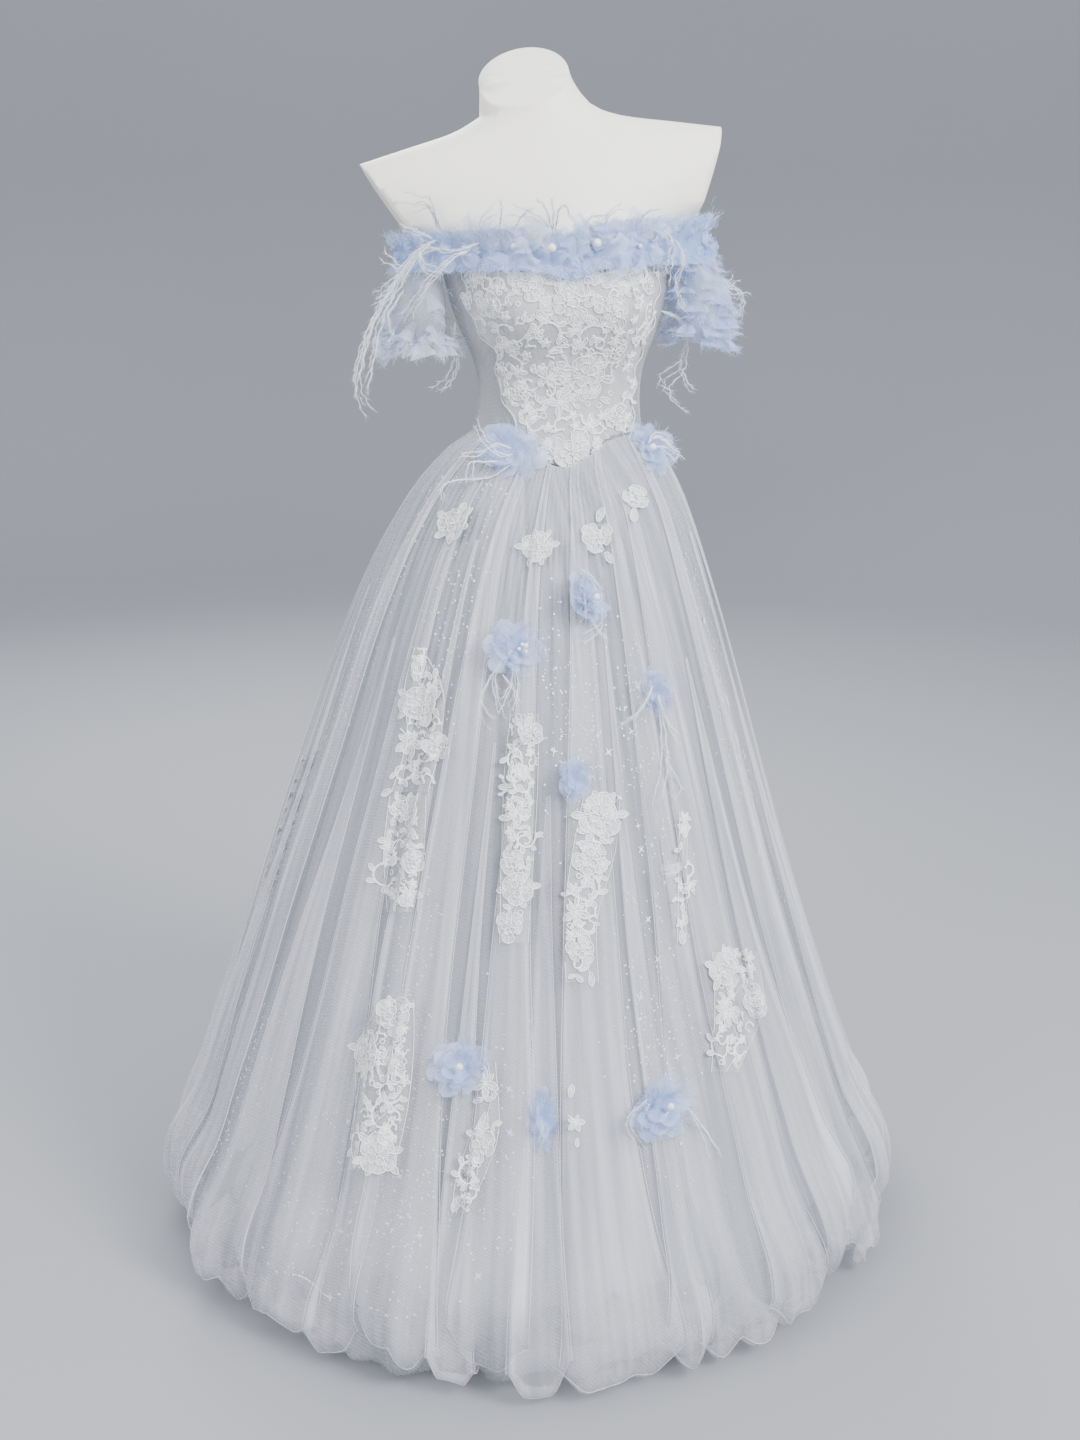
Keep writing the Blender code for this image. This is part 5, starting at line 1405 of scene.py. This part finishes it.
def makeSleeve(name, material, veil, fibre, seed, clusters):
    tree = smoothTree([name], 1)
    low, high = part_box(name)
    middle = (low + high) / 2
    side = 1 if middle.x > 0 else -1

    def ringPoint(turnAngle, z, lift):
        outward = facing(turnAngle)
        level = min(max(z, low.z + 0.002), high.z - 0.012)
        start = Vector((middle.x, middle.y, level))
        hit = tree.ray_cast(start + outward * 0.2, -outward)[0]
        reach = (hit - start).dot(outward) if hit else 0.05
        point = start + outward * (reach + lift)
        return Vector((point.x, point.y, z)), outward

    def body(u, v):
        # it bulges on the outside of the arm and narrows to its lower edge
        turnAngle = 2 * math.pi * u
        wave = math.sin(7 * turnAngle + seed) * sleeveLook["wave"] \
            + math.sin(17 * turnAngle + 2 * seed) * sleeveLook["fineWave"]
        rough = noise.noise(Vector((math.sin(turnAngle) * 3, math.cos(turnAngle) * 3, v * 4 + seed))) \
            * sleeveLook["rough"]
        outside = soft(side * math.sin(turnAngle), -0.75, 0.1)
        swell = math.sin(math.pi * min(0.12 + 0.9 * v, 1.0)) ** 0.7
        lift = (sleeveLook["bulge"] * swell + wave * (1 - 0.6 * v) + rough) * outside - 0.006 * (1 - v) ** 3
        z = lerp(low.z + 0.012, high.z - 0.006, v) - 0.010 * (1 - v) * side * math.sin(turnAngle)
        return ringPoint(turnAngle, z, max(0.0006 + lift, -0.004))[0]

    mesh = clothMesh(name, sleeveLook["columns"], sleeveLook["rows"], body, closed=True)
    piece = addPiece(name + "_tulle", mesh, material, "blue_tulle" if side > 0 else "skirt_tulle", [name])

    chance = random.Random(seed)
    bm = bmesh.new()
    strands = []
    for i in range(clusters):
        turnAngle = 2 * math.pi * i / clusters + chance.uniform(-0.2, 0.2)
        outside = side * math.sin(turnAngle)
        if outside < -0.85:
            continue
        if side > 0:
            z = chance.uniform(low.z + 0.016, high.z - 0.020)
        else:
            z = low.z + chance.uniform(0.012, 0.026) if i % 3 else chance.uniform(low.z + 0.01, high.z - 0.02)
        root, outward = ringPoint(turnAngle, z, 0.004)
        across = up.cross(outward).normalized()
        tip = (outward * chance.uniform(0.5, 1.0) - up * chance.uniform(0.0, 0.6)
               + across * chance.uniform(-0.7, 0.7)).normalized()
        sideways = tip.cross(up if side > 0 else outward + up * 0.3).normalized()
        length = sleeveLook["frill"] * chance.uniform(0.5, 1.2) * (0.7 + 0.3 * soft(outside, -0.8, 0.2))
        width = length * chance.uniform(0.9, 1.6)
        where = addScrap(bm, 6, 4, root, tip, sideways, outward, length,
                         lambda v: width / 2 * (0.30 + 0.70 * v), chance.uniform(0, 6), ruffleScrap)
        for _ in range(sleeveLook["fibres"]):
            start = where(chance.random(), 1.0)
            end = start + (tip + anyWay(chance) * 0.6).normalized() * sleeveLook["fibreLength"] \
                * chance.uniform(0.4, 1.2)
            strands.append(([start, end], sleeveLook["fibreRadii"]))
    ruffles = addPiece(name + "_ruffles", toMesh(bm, name), veil, "blue_tulle")
    print("  ruffles area", round(clothArea(ruffles), 4))
    addPiece(name + "_fibres", strandMesh(name, strands), fibre, "blue_tulle")


makeSleeve("sleeve_right", paleSleeveTulle, paleVeil, paleFibre, 5, 130)
makeSleeve("sleeve_left", paleVeil, blueVeil, blueFibre, 9, 240)
print("sleeves done")

# long strands over the sleeves and chest: place in the front view and depth of each point
rightStrands = (
    ((479, 243, -0.105), (450, 252, -0.09), (420, 250, -0.07), (394, 287, -0.06), (377, 314, -0.05),
     (364, 357, -0.05), (355, 394, -0.05)),
    ((430, 244, -0.08), (405, 270, -0.06), (384, 303, -0.05), (368, 340, -0.05), (361, 368, -0.05),
     (362, 392, -0.05), (372, 409, -0.05)),
    ((440, 248, -0.08), (410, 262, -0.065), (390, 296, -0.06), (372, 326, -0.055), (366, 352, -0.05),
     (358, 380, -0.05)),
    ((436, 240, -0.08), (414, 252, -0.07), (396, 274, -0.06), (383, 287, -0.055), (372, 294, -0.05)),
    ((420, 252, -0.09), (423, 266, -0.09), (443, 275, -0.095)),
    ((432, 238, -0.08), (418, 232, -0.07), (403, 227, -0.06)),
    ((412, 268, -0.06), (396, 268, -0.05), (380, 259, -0.04)),
    ((455, 322, -0.04), (454, 346, -0.035), (457, 362, -0.03), (450, 381, -0.03), (439, 390, -0.03)),
    ((404, 290, -0.06), (388, 316, -0.055), (392, 338, -0.05), (386, 346, -0.05)),
    ((470, 250, -0.10), (448, 262, -0.10), (424, 290, -0.09), (404, 322, -0.07)),
)
leftStrands = (
    ((661, 228, -0.08), (672, 239, -0.085), (668, 258, -0.09), (664, 274, -0.09)),
    ((700, 268, -0.02), (720, 284, -0.02), (736, 287, -0.01), (742, 298, -0.01), (738, 311, -0.01)),
    ((716, 280, -0.02), (727, 287, -0.02), (739, 280, -0.01)),
    ((690, 326, -0.03), (686, 346, -0.03), (681, 367, -0.03), (667, 378, -0.03), (665, 392, -0.03),
     (679, 402, -0.03)),
    ((684, 352, -0.03), (681, 368, -0.03), (693, 388, -0.03)),
    ((661, 311, -0.07), (677, 318, -0.06), (683, 327, -0.05)),
    ((670, 226, -0.07), (684, 221, -0.05), (692, 213, -0.04)),
    ((676, 240, -0.08), (684, 262, -0.08), (676, 290, -0.075), (684, 312, -0.07)),
    ((712, 318, -0.02), (716, 334, -0.02), (724, 338, -0.02)),
)
chestStrands = (
    ((551, 238), (552, 222), (550, 201)), ((549, 230), (538, 219), (522, 212), (514, 209)),
    ((554, 234), (558, 213), (563, 209), (568, 221)), ((552, 236), (546, 214), (536, 204)),
    ((440, 226), (434, 202), (423, 199), (411, 195)), ((444, 228), (432, 206), (420, 207)),
    ((500, 236), (502, 217), (501, 204)), ((512, 238), (520, 222), (531, 214)),
    ((480, 236), (486, 222), (498, 216)), ((600, 236), (604, 220), (616, 212)),
    ((630, 232), (638, 216), (650, 209)), ((575, 238), (584, 222), (598, 218)),
)


def makeLongFeathers():
    for side, rows in (("right", rightStrands), ("left", leftStrands)):
        chance = random.Random(len(rows))
        strands = []
        for row in rows:
            featherStrand([seenAt(x, y, depth) for x, y, depth in row], chance, strands, bundle=3)
        addPiece("feathers_sleeve_" + side, strandMesh(side, strands), featherFibre, "feather",
                 ["tuft_sleeve_" + side])
    chance = random.Random(8)
    strands = []
    formTree = treeOf(bpy.data.objects["dress_form"].data)
    for row in chestStrands:
        points = [seenOn(formTree, x, y, 0.012 + 0.004 * i)[0] for i, (x, y) in enumerate(row)]
        featherStrand(points, chance, strands, featherLook["chestStem"], featherLook["chestBend"], bundle=2)
    for k in range(14):
        # short ones round the sides and back of the neckline
        points = []
        for i in range(4):
            degrees = 100 + k * 12.5 + 3 * i * math.sin(k)
            root, outward = trimPoint(degrees, 0.012 + 0.013 * i * math.cos(1.7 * k), 0.012)
            points.append(root + outward * 0.004 * i)
        featherStrand(points, chance, strands, featherLook["neckStem"])
    # the chest and neckline strands take the darkened fibre: painted shade on pale feathers
    addPiece("feathers_neckline", strandMesh("neckline", strands), featherPaintedShade, "feather")


makeLongFeathers()
print("long feathers done")


# Floor, backdrop and light

stageLook = dict(flat=4.2, curve=1.6, wallTop=4.2, steps=72)


def makeStage():
    # a round sweep of studio paper: level floor, then a wide curve up into the wall
    flat, curve = stageLook["flat"], stageLook["curve"]
    profile = [(0.0, 0.0), (2.0, 0.0), (flat, 0.0)]
    profile += [(flat + curve * sine(turn), curve - curve * math.cos(math.radians(turn)))
                for turn in range(10, 91, 10)]
    profile += [(flat + curve, stageLook["wallTop"])]
    bm = bmesh.new()
    verts = [bm.verts.new((x, 0, z)) for x, z in profile]
    edges = [bm.edges.new(pair) for pair in zip(verts, verts[1:])]
    bmesh.ops.spin(bm, geom=verts + edges, cent=(0, 0, 0), axis=(0, 0, 1), angle=2 * math.pi,
                   steps=stageLook["steps"], use_merge=True)
    bmesh.ops.remove_doubles(bm, verts=bm.verts, dist=0.0001)
    floor = linkObject("floor", toMesh(bm, "floor"))
    floor.data.materials.append(studioPaper)

    world = bpy.data.worlds.new("studio")
    bpy.context.scene.world = world
    world.use_nodes = True
    background = world.node_tree.nodes["Background"]
    background.inputs["Color"].default_value = hexColour("#E4E8F0")
    background.inputs["Strength"].default_value = 2.1

    lights = (
        # name, place, aim, size, power
        ("key", (2.1, -2.6, 2.9), (0, 0, 0.9), 1.8, 300),
        ("fill", (-2.6, -2.2, 1.9), (0, 0, 0.8), 2.2, 95),
        ("back", (-0.6, 2.8, 2.8), (0, 0, 1.0), 2.0, 130),
    )
    for name, place, aim, size, power in lights:
        data = bpy.data.lights.new(name, "AREA")
        data.shape = "DISK"
        data.size = size
        data.energy = power
        lamp = bpy.data.objects.new(name, data)
        bpy.context.scene.collection.objects.link(lamp)
        lamp.location = place
        lamp.rotation_euler = (Vector(aim) - Vector(place)).to_track_quat("-Z", "Y").to_euler()


makeStage()
print("stage done")
